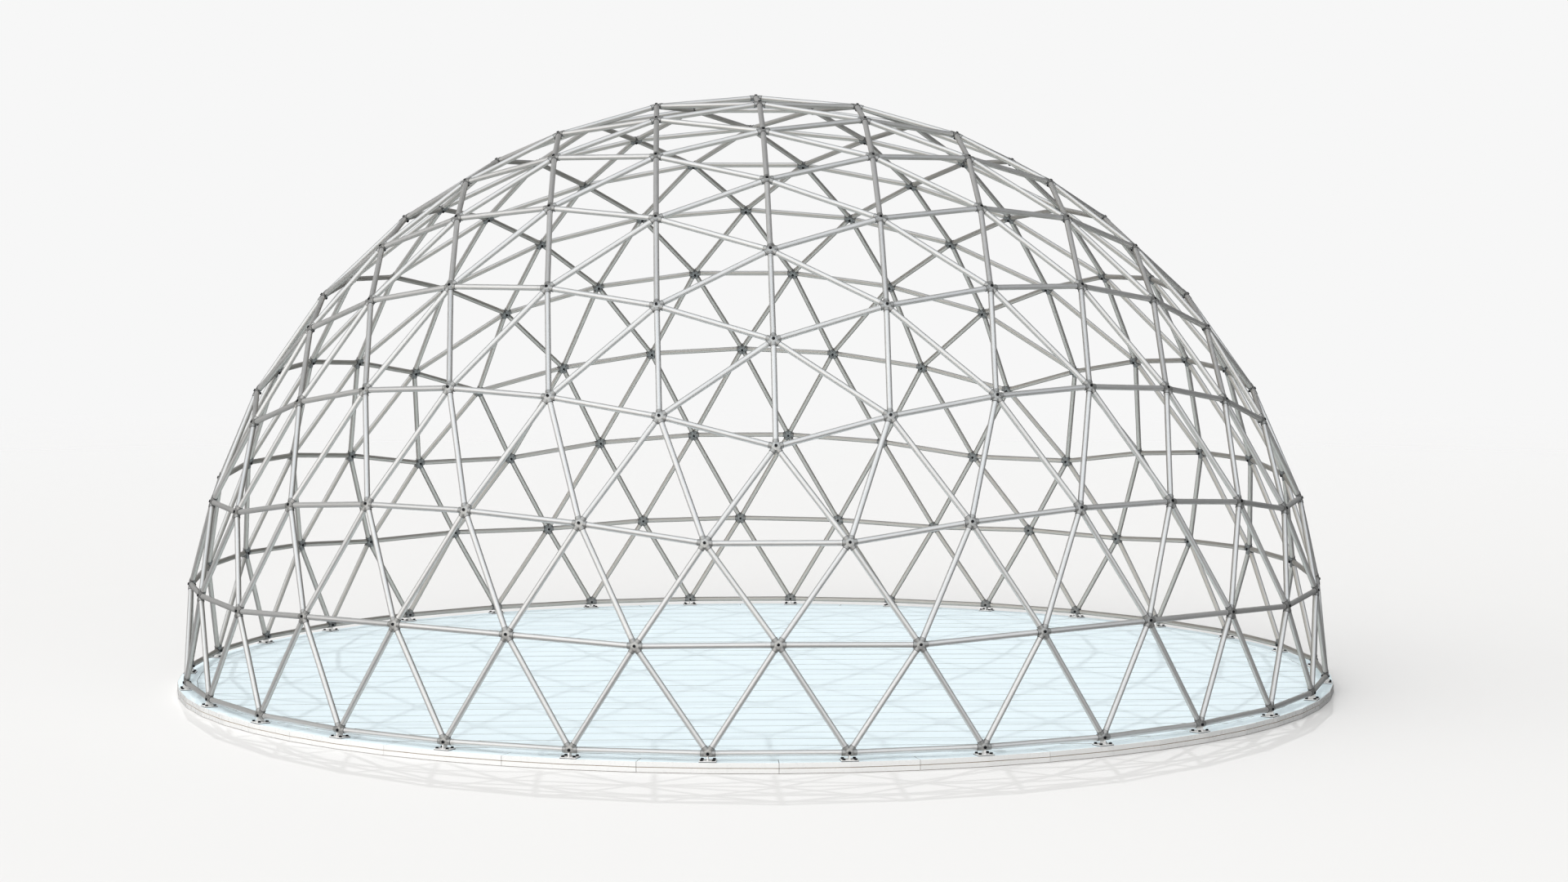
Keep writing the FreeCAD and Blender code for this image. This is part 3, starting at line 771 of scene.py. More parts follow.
def grain_group():
    """Wood grain along X or Y: late-wood lines, fibres and a tint for each board."""
    graph, given, result = new_group(
        "Board Grain",
        "ShaderNodeTree",
        (
            ("Light", "NodeSocketColor", rgba((0.6, 0.5, 0.4))),
            ("Dark", "NodeSocketColor", rgba((0.4, 0.3, 0.2))),
            ("Grain Share", "NodeSocketFloat", 0.6),
            ("Edge", "NodeSocketColor", rgba((0.3, 0.2, 0.1))),
            ("Across X", "NodeSocketFloat", 0.0),
            ("Roughness", "NodeSocketFloat", 0.5),
        ),
        FINISH,
    )
    fine_across = 22.0  # the grain is this much finer across a board
    parts = graph.add("ShaderNodeSeparateXYZ", {"Vector": graph.place()}).outputs
    tint = graph.stored("tint")
    mix_x = graph.add("ShaderNodeMix", {"Factor": given["Across X"], "A": parts["X"], "B": parts["Y"]})
    mix_y = graph.add("ShaderNodeMix", {"Factor": given["Across X"], "A": parts["Y"], "B": parts["X"]})
    shift = graph.times(tint, 7.0)
    along = graph.plus(graph.times(mix_x.outputs[0], 0.9), shift)
    across = graph.times(mix_y.outputs[0], fine_across)
    deep = graph.times(parts["Z"], fine_across)
    grid = graph.add("ShaderNodeCombineXYZ", {"X": along, "Y": across, "Z": deep}).outputs[0]
    drift = {"Vector": grid, "Scale": 1.3, "Detail": 3.0, "Distortion": 0.6}
    wander = graph.add("ShaderNodeTexNoise", drift).outputs["Color"]
    bent = graph.add("ShaderNodeMix", {"Factor": 0.55, "A": grid, "B": wander}, data_type="VECTOR")
    rings = graph.add(
        "ShaderNodeTexWave",
        {"Vector": bent.outputs[1], "Scale": 1.1, "Distortion": 5.0, "Detail": 3.0, "Detail Scale": 1.6},
        bands_direction="Y",
    ).outputs["Fac"]
    fibre_grid = graph.add("ShaderNodeMapping", {"Vector": grid, "Scale": (4.0, 14.0, 14.0)}).outputs[0]
    fibre = value_noise(graph, fibre_grid, scale=2.0, detail=4.0, rough=0.5)
    late = graph.times(span(graph, rings, 0.35, 0.95), 0.65)
    fibres = graph.times(span(graph, fibre, 0.35, 0.7), 0.35)
    grain = graph.plus(late, fibres)
    figure = graph.times(grain, given["Grain Share"])
    board = graph.times(graph.times(tint, 0.25), given["Grain Share"])
    face = mixed(graph, graph.plus(figure, board), given["Light"], given["Dark"])
    upward = graph.math("ABSOLUTE", graph.dot(graph.normal(), UP))
    # Side faces take the edge colour; on the deck boards this is partly sawn edge and partly painted shade in
    # the gaps.
    sawn_edge_shade = span(graph, upward, 0.35, 0.6, to_low=1.0, to_high=0.0)
    colour_out = mixed(graph, sawn_edge_shade, face, given["Edge"])
    rough = graph.plus(given["Roughness"], graph.times(figure, 0.25))
    height = graph.math("SUBTRACT", 1.0, grain)
    graph.give(result, {"Colour": colour_out, "Roughness": rough, "Height": height})
    return graph.tree


def new_material(name, constants):
    """Material with a Principled shader and its plain values, as (material, graph, shader)."""
    material = bpy.data.materials.new(name)
    material.use_nodes = True
    graph = Graph(material.node_tree)
    shader = material.node_tree.nodes["Principled BSDF"]
    for key, value in constants.items():
        shader.inputs[key].default_value = value
    return material, graph, shader


def wire(graph, shader, group, bump_strength, bump_distance):
    """Joins a group's colour, roughness and height to a shader."""
    relief = {"Strength": bump_strength, "Distance": bump_distance, "Height": group.outputs["Height"]}
    normal = graph.add("ShaderNodeBump", relief).outputs[0]
    colour_in, roughness = group.outputs["Colour"], group.outputs["Roughness"]
    graph.give(shader.inputs, {"Base Color": colour_in, "Roughness": roughness, "Normal": normal})


def group_node(graph, name, maker, inputs):
    """A shared group in a material, with its values."""
    return graph.add("ShaderNodeGroup", inputs, node_tree=shared_group(name, maker))


def paint(name, first, second, roughness, grime, coat=0.0, tone=0.6, peel=900.0):
    """Powder coat, laminate or rubber: two close tones with grime and orange peel."""
    constants = {"Metallic": 0.0, "IOR": 1.5, "Coat Weight": coat, "Coat Roughness": 0.12}
    material, graph, shader = new_material(name, constants)
    group = group_node(
        graph,
        "Powder Coat",
        paint_group,
        {
            "Colour": rgba(first),
            "Second Tone": rgba(second),
            "Tone Share": tone,
            "Grime": grime,
            "Gloss Roughness": roughness,
            "Peel Scale": peel,
        },
    )
    wire(graph, shader, group, 0.18, 0.0004)
    return material


def galvanised(colours):
    """Galvanised pipes: each pipe has its own tone, and the dark patches grow heavier towards both ends of
    each pipe.
    """
    constants = {"Metallic": 0.72, "Specular Tint": rgba((0.3, 0.3, 0.3))}
    material, graph, shader = new_material("galvanised_pipe", constants)
    from_middle = graph.math("SUBTRACT", graph.stored("along"), 0.5)
    near_hub = graph.times(graph.math("ABSOLUTE", from_middle), 2.0)
    middle_tone = [0.5 * (a + b) for a, b in zip(colours.pipe, colours.pipe_cool)]
    group = group_node(
        graph,
        "Zinc and Cast Grain",
        zinc_group,
        {
            "Light": mixed(graph, graph.stored("tint"), rgba(colours.pipe), rgba(middle_tone)),
            "Dark": rgba(colours.pipe_cool),
            # Painted shade on the pipe faces that look into the dome.
            "Inside": rgba(colours.pipe_inside_shade),
            "Crystal Scale": 75.0,
            "Crystal Share": 0.2,
            # Darker patches grow over the last part of each pipe towards its hubs.
            "Stain": span(graph, near_hub, 0.86, 1.0, 0.05, 0.55),
            "Roughness": 0.33,
            "Grain Scale": 1200.0,
        },
    )
    wire(graph, shader, group, 0.05, 0.0001)
    return material


def cast_metal(name, value, roughness):
    """Sand-cast aluminium."""
    material, graph, shader = new_material(name, {"Metallic": 0.8})
    group = group_node(
        graph,
        "Zinc and Cast Grain",
        zinc_group,
        {
            "Light": rgba(value),
            "Dark": rgba([0.8 * channel for channel in value]),
            # Painted shade on the hub faces that look into the dome.
            "Inside": rgba([0.45 * channel for channel in value]),
            "Crystal Scale": 900.0,
            "Crystal Share": 0.35,
            "Stain": 0.30,
            "Roughness": roughness,
            "Grain Scale": 1400.0,
        },
    )
    wire(graph, shader, group, 0.35, 0.0004)
    return material


def boards(name, light, dark, edge, grain, roughness, across_x=0.0, bump=0.25):
    """Timber boards, painted or raw, with their side faces in another tone; on the deck that dark tone is
    partly sawn edge and partly painted shade in the gaps.
    """
    material, graph, shader = new_material(name, {"IOR": 1.45, "Specular IOR Level": 0.2})
    group = group_node(
        graph,
        "Board Grain",
        grain_group,
        {
            "Light": rgba(light),
            "Dark": rgba(dark),
            "Edge": rgba(edge),
            "Grain Share": grain,
            "Across X": across_x,
            "Roughness": roughness,
        },
    )
    wire(graph, shader, group, bump, 0.0006)
    return material


def steel(name, value, roughness, metallic=1.0):
    """Bare or blackened steel with fine turning marks."""
    material, graph, shader = new_material(name, {"Metallic": metallic})
    place = graph.place()
    marks = value_noise(graph, place, scale=420.0, detail=4.0, rough=0.7)
    patches = value_noise(graph, place, scale=60.0, detail=3.0, rough=0.6)
    darker = [0.6 * channel for channel in value]
    base = mixed(graph, span(graph, patches, 0.35, 0.7), rgba(value), rgba(darker))
    rough = span(graph, marks, 0.3, 0.7, to_low=roughness - 0.08, to_high=roughness + 0.12)
    normal = graph.add("ShaderNodeBump", {"Strength": 0.2, "Distance": 0.0002, "Height": marks}).outputs[0]
    graph.give(shader.inputs, {"Base Color": base, "Roughness": rough, "Normal": normal})
    return material


def rubber(name, colours):
    """Moulded rubber with a fine dry bloom."""
    bloom = [1.9 * channel for channel in colours.rubber]
    return paint(name, colours.rubber, bloom, roughness=0.62, grime=0.10, peel=1500.0)


# --- pieces ---


def settings(context):
    """Sizes and colours of the climber."""
    return context.scene.climber_sizes, context.scene.climber_colours


def rim_corner(sizes, inset, azimuth, shift=0.0):
    """Corner of the rim's outline, inset square to its sides and shifted sideways along the rim."""
    radius = sizes.dome_radius + sizes.rim_reach - inset / math.cos(RIM_STEP / 2)
    x = radius * math.cos(azimuth) - shift * math.sin(azimuth)
    y = radius * math.sin(azimuth) + shift * math.cos(azimuth)
    return Vector((x, y, 0))


def flat_mesh(name, verts, edges, faces):
    """Mesh of loose edges, or of flat faces that look up."""
    mesh = bpy.data.meshes.new(name)
    mesh.from_pydata(verts, edges, faces)
    return mesh


def rim_outlines(sizes, outer_inset, inner_inset, bottom):
    """Flat outlines of the lengths of the rim, each with a corner at its foot."""
    half = sizes.ring_joint / 2
    verts, faces = [], []
    for k in range(BASE_HUBS):
        foot = 2 * RIM_STEP * k
        start = len(verts)
        for inset, order in ((outer_inset, (-1, 0, 1)), (inner_inset, (1, 0, -1))):
            for end in order:
                corner = rim_corner(sizes, inset, foot + end * RIM_STEP, -end * half)
                verts.append(corner + UP * bottom)
        faces.append((start, start + 1, start + 4, start + 5))
        faces.append((start + 1, start + 2, start + 3, start + 4))
    return flat_mesh("rim", verts, [], faces)


def clipped(outline, axis, limit, keep_above):
    """Part of a convex outline on one side of a line square to an axis."""
    kept = []
    for one, other in zip(outline, outline[1:] + outline[:1]):
        inside = [(point[axis] > limit) == keep_above for point in (one, other)]
        if inside[0]:
            kept.append(one)
        if inside[0] != inside[1]:
            part = (limit - one[axis]) / (other[axis] - one[axis])
            kept.append(one.lerp(other, part))
    return kept


def strips(sizes, axis, ranges, bottom):
    """Flat outlines of boards inside the border ring, each between two limits on an axis."""
    inset = sizes.ring_width + sizes.deck_clearance
    ring = [rim_corner(sizes, inset, RIM_STEP * k) + UP * bottom for k in range(2 * BASE_HUBS)]
    verts, faces = [], []
    for low, high in ranges:
        outline = clipped(clipped(ring, axis, low, True), axis, high, False)
        faces.append(tuple(range(len(verts), len(verts) + len(outline))))
        verts.extend(outline)
    return flat_mesh("boards", verts, [], faces)


def span_inside(sizes, axis):
    """Half of the width inside the border ring along an axis."""
    inset = sizes.ring_width + sizes.deck_clearance
    return max(rim_corner(sizes, inset, RIM_STEP * k)[axis] for k in range(2 * BASE_HUBS))


def bolt_mesh(sizes, shank_length):
    """Bolt with its head on the plane at height 0 and its shank below."""
    shank = sizes.bolt_diameter / 2
    bm = bmesh.new()
    add_hexagon(bm, sizes.bolt_flats, sizes.head_height)
    add_lathe(bm, [(shank, 0.0), (shank, -shank_length), (0.0, -shank_length)], THREAD_SIDES)
    return mesh_from("bolt", bm)


def washer_mesh(sizes):
    """Washer that lies on the plane at height 0."""
    hole, outer, thick = sizes.bolt_diameter / 2, sizes.washer_diameter / 2, sizes.washer_thickness
    rim = [(outer, 0.0), (outer, thick - WASHER_EDGE), (outer - WASHER_EDGE, thick)]
    bm = bmesh.new()
    add_lathe(bm, [(hole, 0.0), *rim, (hole, thick)], WASHER_SIDES, closed=True)
    return mesh_from("washer", bm)


def web_mesh(sizes, plate_top):
    """Upright web of a foot, with a weld along each side of its base."""
    bottom = plate_top - TOUCH
    size = (sizes.web_depth, sizes.web_thickness, WEB_TOP - DECK_TOP - bottom)
    web = rounded_box(size, 0.0, METAL_EDGE, bottom)
    half, reach = sizes.web_thickness / 2, sizes.web_depth / 2
    inner, outer, middle = half - WELD_SINK, half + WELD_LEG, half + 0.45 * WELD_LEG
    corners = (
        (inner, bottom),
        (outer, bottom),
        (middle, plate_top + 0.5 * WELD_LEG),
        (inner, plate_top + WELD_LEG),
    )
    for side in (-1, 1):
        near, far = [[web.verts.new((x, side * y, z)) for y, z in corners] for x in (-reach, reach)]
        for k in range(4):
            j = (k + 1) % 4
            web.faces.new((near[k], near[j], far[j], far[k]))
        web.faces.new(near)
        web.faces.new(far[::-1])
    return mesh_from("web", web)


class CLIMBER_OT_pipes(bpy.types.Operator):
    """Build the galvanised pipes between the hubs"""

    bl_idname = "climber.pipes"
    bl_label = "Pipes"

    def execute(self, context):
        sizes, colours = settings(context)
        material = galvanised(colours)
        net = Net(sizes)
        for kind, seed in (("ring", 3), ("brace", 5)):
            verts, edges = [], []
            for one, other in net.struts:
                if (net.ring[one] == net.ring[other]) != (kind == "ring"):
                    continue
                inset = (net.place[other] - net.place[one]).normalized() * sizes.pipe_end
                edges.append((len(verts), len(verts) + 1))
                verts.append(net.place[one] + inset)
                verts.append(net.place[other] - inset)
            values = {"Diameter": sizes.pipe_diameter, "Sides": sizes.pipe_sides}
            values.update({"Seed": seed, "Material": material})
            tree = shared_group("Tubes Along Struts", tubes_tree)
            piece = grow(f"{kind}_pipes", flat_mesh("struts", verts, edges, []), tree, values)
            finish_piece(piece, "pipe_steel", *nodes_named(f"{kind}_pipes_"))
        return {"FINISHED"}


class CLIMBER_OT_sealant_shade(bpy.types.Operator):
    """Build the black beads of sealant at the mouths of the sockets, which also stand in for the shade in the
    gap there
    """

    bl_idname = "climber.sealant"
    bl_label = "Sealant"

    def execute(self, context):
        sizes, colours = settings(context)
        width = sizes.sealant_width
        outer = sizes.socket_diameter / 2
        inner = sizes.pipe_diameter / 2 - 2 * TOUCH
        shoulder = outer - 3 * TOUCH  # where the bead rounds over
        profile = [
            (inner, -TOUCH),
            (outer, -TOUCH),
            (outer, 0.35 * width),
            (shoulder, 0.8 * width),
            (inner, width),
        ]
        bm = bmesh.new()
        add_lathe(bm, profile, sizes.sealant_sides, closed=True)
        ends = Net(sizes).strut_ends(sizes.socket_mouth)
        points = [(place, direction, 0.0) for place, direction in ends]
        # The black beads are sealant and also stand in for shade: the dark gap between each socket and its
        # pipe.
        piece = place_parts("socket_sealant", mesh_from("bead", bm), points, rubber("sealant", colours))
        finish_piece(piece, "pad_rubber")
        return {"FINISHED"}


class CLIMBER_OT_spigots(bpy.types.Operator):
    """Build the plugs inside the pipe ends with their necked spigots"""

    bl_idname = "climber.spigots"
    bl_label = "Spigot Plugs"

    def execute(self, context):
        sizes, colours = settings(context)
        tip, flange = sizes.spigot_tip, sizes.spigot_flange
        full, neck, plug = sizes.spigot_diameter / 2, sizes.spigot_neck / 2, sizes.plug_diameter / 2
        profile = [
            (0.0, tip),
            (full, tip),
            (full, tip + flange),
            (neck, tip + flange),
            (neck, sizes.window_apothem),
            (full, sizes.window_apothem),
            (full, sizes.pipe_end),
            (plug, sizes.pipe_end),
            (plug, sizes.pipe_end + sizes.plug_length),
            (0.0, sizes.pipe_end + sizes.plug_length),
        ]
        bm = bmesh.new()
        add_lathe(bm, profile, SPIGOT_SIDES)
        points = [(place, direction, 0.0) for place, direction in Net(sizes).strut_ends(0.0)]
        bare = steel("plug_steel", colours.plug, roughness=0.34)
        piece = place_parts("spigot_plugs", mesh_from("spigot", bm), points, bare)
        finish_piece(piece, "plug_steel", *nodes_named("plugs_"))
        return {"FINISHED"}


class CLIMBER_OT_hubs(bpy.types.Operator):
    """Finish the cast hubs and their caps"""

    bl_idname = "climber.hubs"
    bl_label = "Hubs and Caps"

    def execute(self, context):
        _, colours = settings(context)
        cast = cast_metal("hub_casting", colours.hub, roughness=0.40)
        cap = cast_metal("cap_casting", colours.cap, roughness=0.34)
        for start, material in (("hub_crown", cast), ("hubs_ring_", cast), ("caps_", cap)):
            for node in nodes_named(start):
                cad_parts[node].material_slots[0].material = material
        return {"FINISHED"}


class CLIMBER_OT_hub_fasteners(bpy.types.Operator):
    """Build the bolt and nut that clamp the caps of each hub"""

    bl_idname = "climber.hub_fasteners"
    bl_label = "Hub Bolts and Nuts"

    def execute(self, context):
        sizes, colours = settings(context)
        net = Net(sizes)
        black = steel("black_oxide", colours.fastener, roughness=0.42, metallic=0.6)
        tops = [(net.hub_point(key, sizes.cap_top), net.normal[key], 0.0) for key in net.place]
        bolt = bolt_mesh(sizes, 2 * sizes.cap_top)
        bolts = place_parts("hub_bolts", bolt, tops, black, math.pi, seed=11)
        finish_piece(bolts, "black_fasteners", *nodes_named("hub_bolts_"))
        shank, lead = sizes.bolt_diameter / 2, BOLT_LEAD
        tip = sizes.nut_height + sizes.bolt_tip
        thread = [(shank, sizes.nut_height - lead), (shank, tip - lead), (shank - lead, tip), (0.0, tip)]
        bm = bmesh.new()
        add_hexagon(bm, sizes.bolt_flats, sizes.nut_height)
        add_lathe(bm, thread, THREAD_SIDES)
        bottoms = [(net.hub_point(key, -sizes.cap_top), -net.normal[key], 0.0) for key in net.place]
        nuts = place_parts("hub_nuts", mesh_from("nut", bm), bottoms, black, math.pi, seed=13)
        finish_piece(nuts, "black_fasteners", *nodes_named("hub_nuts_"))
        return {"FINISHED"}


class CLIMBER_OT_feet(bpy.types.Operator):
    """Build the feet: pads, plates, webs, washers and anchor bolts"""

    bl_idname = "climber.feet"
    bl_label = "Feet"

    def execute(self, context):
        sizes, colours = settings(context)
        pad_top = sizes.pad_thickness
        plate_top = pad_top + sizes.plate_thickness
        feet, anchors = [], []
        for k in range(BASE_HUBS):
            azimuth = 2 * RIM_STEP * k
            out = Vector((math.cos(azimuth), math.sin(azimuth), 0))
            side = Vector((-out.y, out.x, 0))
            centre = out * sizes.dome_radius + UP * DECK_TOP
            feet.append((centre, UP, azimuth))
            for across in (-0.5, 0.5):
                for beside in (-0.5, 0.5):
                    place = centre + out * (across * sizes.anchor_spacing_depth)
                    place += side * (beside * sizes.anchor_spacing_width) + UP * plate_top
                    anchors.append((place, UP, 0.0))
        heads = [(place + UP * sizes.washer_thickness, axis, spin) for place, axis, spin in anchors]
        dusty = [0.9 * channel for channel in colours.foot]
        foot_paint = paint("foot_paint", colours.foot, dusty, roughness=0.38, grime=0.35, coat=0.2)
        sole = rubber("pad_rubber", colours)
        black = bpy.data.materials["black_oxide"]
        pad_size = (sizes.foot_depth, sizes.foot_width, sizes.pad_thickness)
        plate_size = (sizes.foot_depth, sizes.foot_width, sizes.plate_thickness)
        pad = mesh_from("pad", rounded_box(pad_size, FOOT_CORNER, RUBBER_EDGE, 0.0))
        plate = mesh_from("plate", rounded_box(plate_size, FOOT_CORNER, METAL_EDGE, pad_top))
        web = web_mesh(sizes, plate_top)
        washer = washer_mesh(sizes)
        anchor = bolt_mesh(sizes, sizes.anchor_length)
        # name, mesh, places, material, random spin, slot, CAD node
        pieces = (
            ("foot_pads_rubber", pad, feet, sole, 0.0, "pad_rubber", "foot_pads"),
            ("foot_plates_coated", plate, feet, foot_paint, 0.0, "foot_paint", "foot_plates"),
            ("foot_webs_coated", web, feet, foot_paint, 0.0, "foot_paint", "foot_webs"),
            ("anchor_washers_black", washer, anchors, black, 0.0, "black_fasteners", "anchor_washers"),
            ("anchor_bolts_black", anchor, heads, black, math.pi, "black_fasteners", "anchor_bolts"),
        )
        for name, mesh, points, material, random_spin, slot, node in pieces:
            piece = place_parts(name, mesh, points, material, random_spin, seed=17)
            finish_piece(piece, slot, node)
        return {"FINISHED"}


class CLIMBER_OT_deck(bpy.types.Operator):
    """Build the deck: planks, joists, border ring and edge bands"""

    bl_idname = "climber.deck"
    bl_label = "Deck"

    def execute(self, context):
        sizes, colours = settings(context)
        # bare carries the dark side colour of the deck boards: partly sawn edge, partly painted shade in the
        # gaps.
        pale, blue, bare = colours.deck_pale, colours.deck, colours.board_edge_shade
        light, dark = colours.timber, colours.timber_dark
        deck_paint = boards("deck_paint", pale, blue, bare, grain=0.55, roughness=0.62, bump=0.12)
        ring_paint = boards("border_paint", pale, blue, bare, grain=0.40, roughness=0.62, bump=0.08)
        timber = boards("joist_timber", light, dark, light, grain=0.8, roughness=0.7, across_x=1.0)
        plywood = boards("base_timber", light, dark, dark, grain=0.6, roughness=0.7)
        scuffed = [0.97 * channel for channel in colours.edge]
        laminate = paint("edge_laminate", colours.edge, scuffed, 0.28, 0.10, coat=0.3, peel=300.0)
        half = span_inside(sizes, 1)
        gap = sizes.plank_gap
        pitch = (2 * half + gap) / sizes.plank_count
        starts = [-half + k * pitch for k in range(sizes.plank_count + 1)]
        planks = [(start, after - gap) for start, after in zip(starts, starts[1:])]
        half = span_inside(sizes, 0)
        pitch = 2 * half / sizes.joist_count
        middles = [-half + (k + 0.5) * pitch for k in range(sizes.joist_count)]
        joists = [(x - sizes.joist_width / 2, x + sizes.joist_width / 2) for x in middles]
        split, top = LAYER_SPLIT, DECK_TOP
        band, seam, width = sizes.band_thickness, sizes.band_seam, sizes.ring_width
        plank_rows = strips(sizes, 1, planks, split)
        joist_rows = strips(sizes, 0, joists, 0.0)
        border = rim_outlines(sizes, band, width, split)
        base = rim_outlines(sizes, band, width, 0.0)
        upper = rim_outlines(sizes, 0.0, band, split + seam)
        lower = rim_outlines(sizes, 0.0, band, seam)
        upper_height, lower_height = top - split - seam, split - 2 * seam
        big, small, fine = sizes.edge_round, BORDER_ROUNDING, BAND_ROUNDING
        white = "edge_white"
        # name, outlines, thickness, seed, material, rounding, slot, CAD node
        pieces = (
            ("planks", plank_rows, top - split, 23, deck_paint, big, "deck_paint", "deck_planks"),
            ("joists", joist_rows, split, 29, timber, big, "joist_wood", "deck_joists"),
            ("border_boards", border, top - split, 31, ring_paint, small, "deck_paint", "deck_ring"),
            ("base_boards", base, split, 31, plywood, small, "base_wood", "base_ring"),
            ("edge_bands_upper", upper, upper_height, 31, laminate, fine, white, "edge_band_upper"),
            ("edge_bands_lower", lower, lower_height, 31, laminate, fine, white, "edge_band_lower"),
        )
        tree = shared_group("Boards From Outlines", boards_tree)
        for name, outlines, thickness, seed, material, rounding, slot, node in pieces:
            values = {"Thickness": thickness, "Seed": seed, "Material": material}
            finish_piece(grow(name, outlines, tree, values, rounding), slot, node)
        return {"FINISHED"}


class CLIMBER_OT_stage(bpy.types.Operator):
    """Set up the camera, the floor, the sun and the light of the room"""

    bl_idname = "climber.stage"
    bl_label = "Studio"

    def execute(self, context):
        stage = context.scene.climber_stage
        self.make_camera(context, stage)
        self.make_floor(stage)
        self.make_sun(stage)
        self.make_room(context, stage)
        return {"FINISHED"}

    def make_camera(self, context, stage):
        """Camera at the front, a little above the deck."""
        data = bpy.data.cameras.new("camera")
        data.lens = stage.camera_lens
        data.sensor_width = 36.0
        data.clip_end = 200.0
        camera = bpy.data.objects.new("camera", data)
        context.scene.collection.objects.link(camera)
        camera.location = stage.camera_place
        yaw, pitch = stage.camera_yaw, stage.camera_pitch
        forward = on_sphere(pitch, math.pi / 2 - yaw)
        camera.rotation_mode = "QUATERNION"
        camera.rotation_quaternion = forward.to_track_quat("-Z", "Y")
        context.scene.camera = camera

    def make_floor(self, stage):
        """Round pale floor that fades into the backdrop."""
        bm = bmesh.new()
        bmesh.ops.create_circle(bm, cap_ends=True, segments=96, radius=stage.floor_radius)
        for vert in bm.verts:
            vert.co.z = CAD_BOX[0].z - FLOOR_DROP
        floor = link_mesh("floor", mesh_from("floor", bm))
        material, graph, shader = new_material("floor_plain", {"Roughness": 0.9, "Specular IOR Level": 0.1})
        reach = graph.add("ShaderNodeVectorMath", {0: graph.place()}, operation="LENGTH").outputs["Value"]
        fade = span(graph, reach, FLOOR_PLAIN, stage.floor_radius - 1.0, to_low=1.0, to_high=0.0)
        path = graph.add("ShaderNodeLightPath").outputs
        bounce, mirrored = rgba(stage.floor_bounce), rgba(stage.floor_mirrored)
        unseen = mixed(graph, path["Is Glossy Ray"], bounce, mirrored)
        base = mixed(graph, path["Is Camera Ray"], unseen, rgba(stage.floor))
        graph.give(shader.inputs, {"Base Color": base, "Alpha": fade})
        floor.data.materials.append(material)

    def make_sun(self, stage):
        """One sun, small enough for soft-edged shadows on the deck, and not mirrored by the metal."""
        data = bpy.data.lights.new("sun", "SUN")
        data.energy = stage.sun_strength
        data.angle = stage.sun_angle
        sun = bpy.data.objects.new("sun", data)
        bpy.context.scene.collection.objects.link(sun)
        sun.visible_glossy = False
        sun.rotation_mode = "QUATERNION"
        sun.rotation_quaternion = on_sphere(stage.sun_height, stage.sun_azimuth).to_track_quat("Z", "Y")

    def make_room(self, context, stage):
        """Light of the room behind a plain backdrop, and a screen and curtain for metal to mirror."""
        world = bpy.data.worlds.new("room")
        context.scene.world = world
        world.use_nodes = True
        graph = Graph(world.node_tree)
        world.node_tree.nodes.clear()
        ray = graph.add("ShaderNodeTexCoord").outputs["Generated"]
        window = on_sphere(stage.window_height, stage.window_azimuth)
        lit = span(graph, graph.dot(ray, window), -0.2, 1.0)
        light = mixed(graph, lit, rgba(stage.room_dim), rgba(stage.room_bright))
        screen = on_sphere(stage.screen_height, stage.screen_azimuth)
        share_lit = self.screen_ramp(graph, graph.dot(ray, screen), stage.curtain)
        parts = graph.add("ShaderNodeSeparateXYZ", {"Vector": ray}).outputs
        high, right = span(graph, parts["Z"], 0.35, 0.85), span(graph, parts["X"], 0.15, 0.9)
        white = mixed(graph, high, rgba(stage.screen_warm), rgba(stage.screen_top))
        white = mixed(graph, right, white, rgba(stage.screen_cool))
        shine = mixed(graph, share_lit, rgba((0.0, 0.0, 0.0)), white)
        path = graph.add("ShaderNodeLightPath").outputs
        glow = mixed(graph, path["Is Glossy Ray"], light, shine)
        room = graph.add("ShaderNodeBackground", {"Color": glow}).outputs[0]
        plain = graph.add("ShaderNodeBackground", {"Color": rgba(stage.backdrop)}).outputs[0]
        mix = graph.add("ShaderNodeMixShader", {0: path["Is Camera Ray"], 1: room, 2: plain})
        graph.add("ShaderNodeOutputWorld", {"Surface": mix.outputs[0]})
        context.scene.view_settings.view_transform = "Standard"

    def screen_ramp(self, graph, mirrored, curtain):
        """Brightness from the back of the room, past the curtain, to the middle of the screen."""
        ramp = graph.add("ShaderNodeValToRGB", {"Fac": span(graph, mirrored, -1.0, 1.0)})
        # place from the back of the room to the middle of the screen, and brightness there
        stops = ((0.0, 0.6), (0.07, 0.4), (0.14, curtain), (0.52, curtain), (0.64, 1.06), (1.0, 1.15))
        elements = ramp.color_ramp.elements
        while len(elements) < len(stops):
            elements.new(0.5)
        for element, (place, value) in zip(elements, stops):
            element.position = place
            element.color = rgba((value, value, value))
        return ramp.outputs["Color"]


PIECE_OPERATORS = (
    CLIMBER_OT_pipes,
    CLIMBER_OT_sealant_shade,
    CLIMBER_OT_spigots,
    CLIMBER_OT_hubs,
    CLIMBER_OT_hub_fasteners,
    CLIMBER_OT_feet,
    CLIMBER_OT_deck,
    CLIMBER_OT_stage,
)


class CLIMBER_PT_panel(bpy.types.Panel):
    """Buttons and settings of the dome climber"""

    bl_label = "Dome Climber"
    bl_idname = "CLIMBER_PT_panel"
    bl_space_type = "VIEW_3D"
    bl_region_type = "UI"
    bl_category = "Dome Climber"

    def draw(self, context):
        for operator in PIECE_OPERATORS:
            self.layout.operator(operator.bl_idname)
        scene = context.scene
        for group in (scene.climber_sizes, scene.climber_colours, scene.climber_stage):
            box = self.layout.box()
            for key in group.__annotations__:
                box.prop(group, key)


SETTING_GROUPS = (ClimberSizes, ClimberColours, ClimberStage)


def register():
    """Registers the settings, the operators and the panel."""
    for kind in (*SETTING_GROUPS, *PIECE_OPERATORS, CLIMBER_PT_panel):
        bpy.utils.register_class(kind)
    bpy.types.Scene.climber_sizes = bpy.props.PointerProperty(type=ClimberSizes)
    bpy.types.Scene.climber_colours = bpy.props.PointerProperty(type=ClimberColours)
    bpy.types.Scene.climber_stage = bpy.props.PointerProperty(type=ClimberStage)


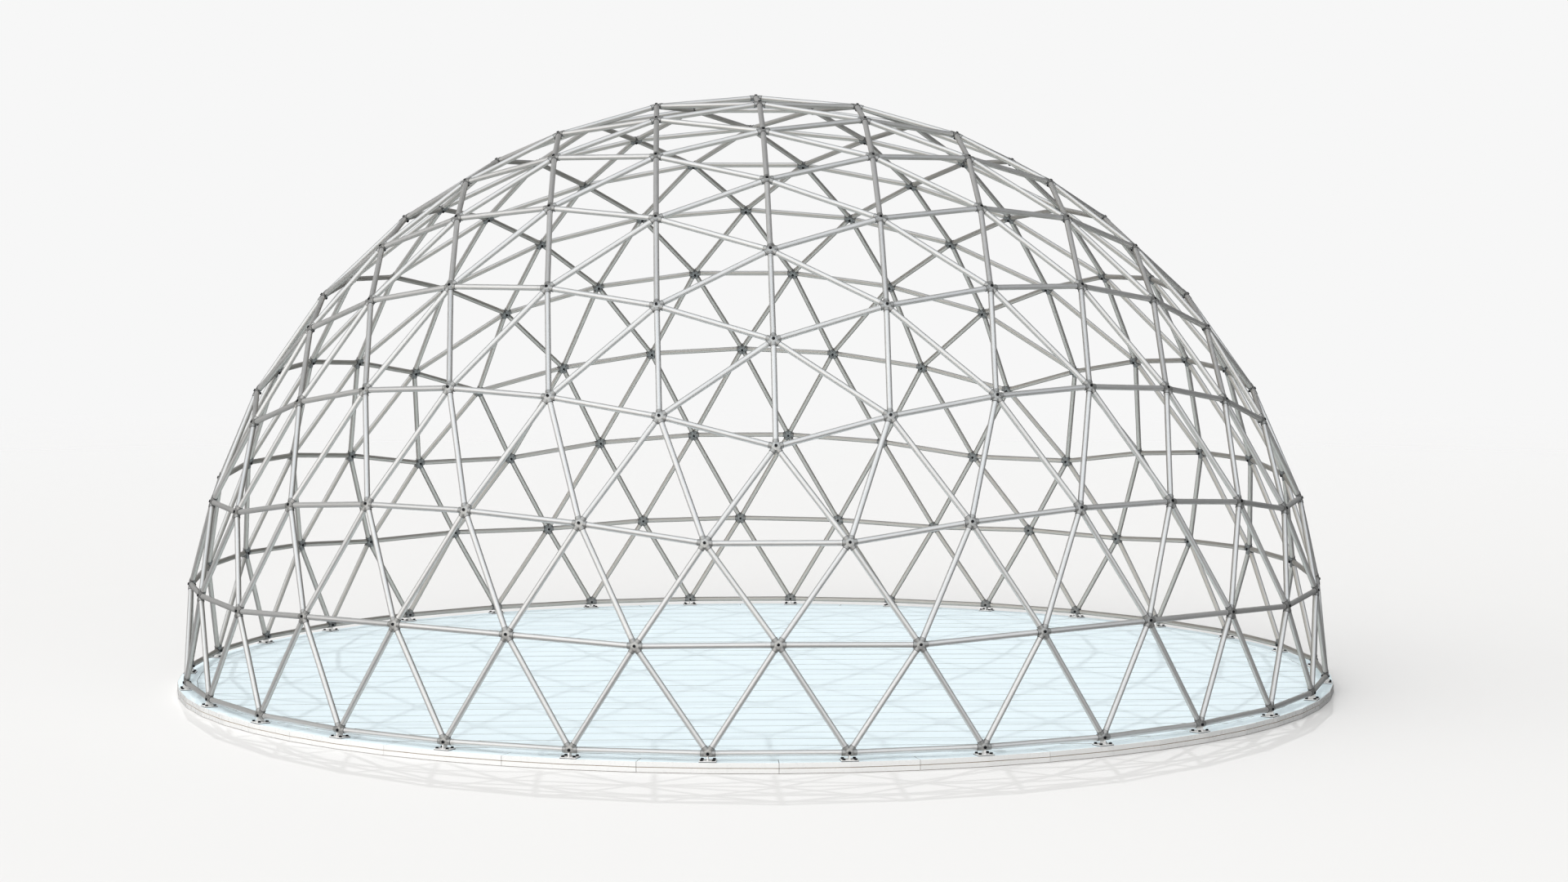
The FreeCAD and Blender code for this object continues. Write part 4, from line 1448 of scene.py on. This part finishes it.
def unregister():
    """Takes everything that register added away again."""
    del bpy.types.Scene.climber_sizes
    del bpy.types.Scene.climber_colours
    del bpy.types.Scene.climber_stage
    for kind in (CLIMBER_PT_panel, *reversed(PIECE_OPERATORS), *SETTING_GROUPS):
        bpy.utils.unregister_class(kind)


def main():
    """Builds every piece and the studio."""
    register()
    for operator in PIECE_OPERATORS:
        group, name = operator.bl_idname.split(".")
        getattr(getattr(bpy.ops, group), name)()


if __name__ == "__main__":
    main()
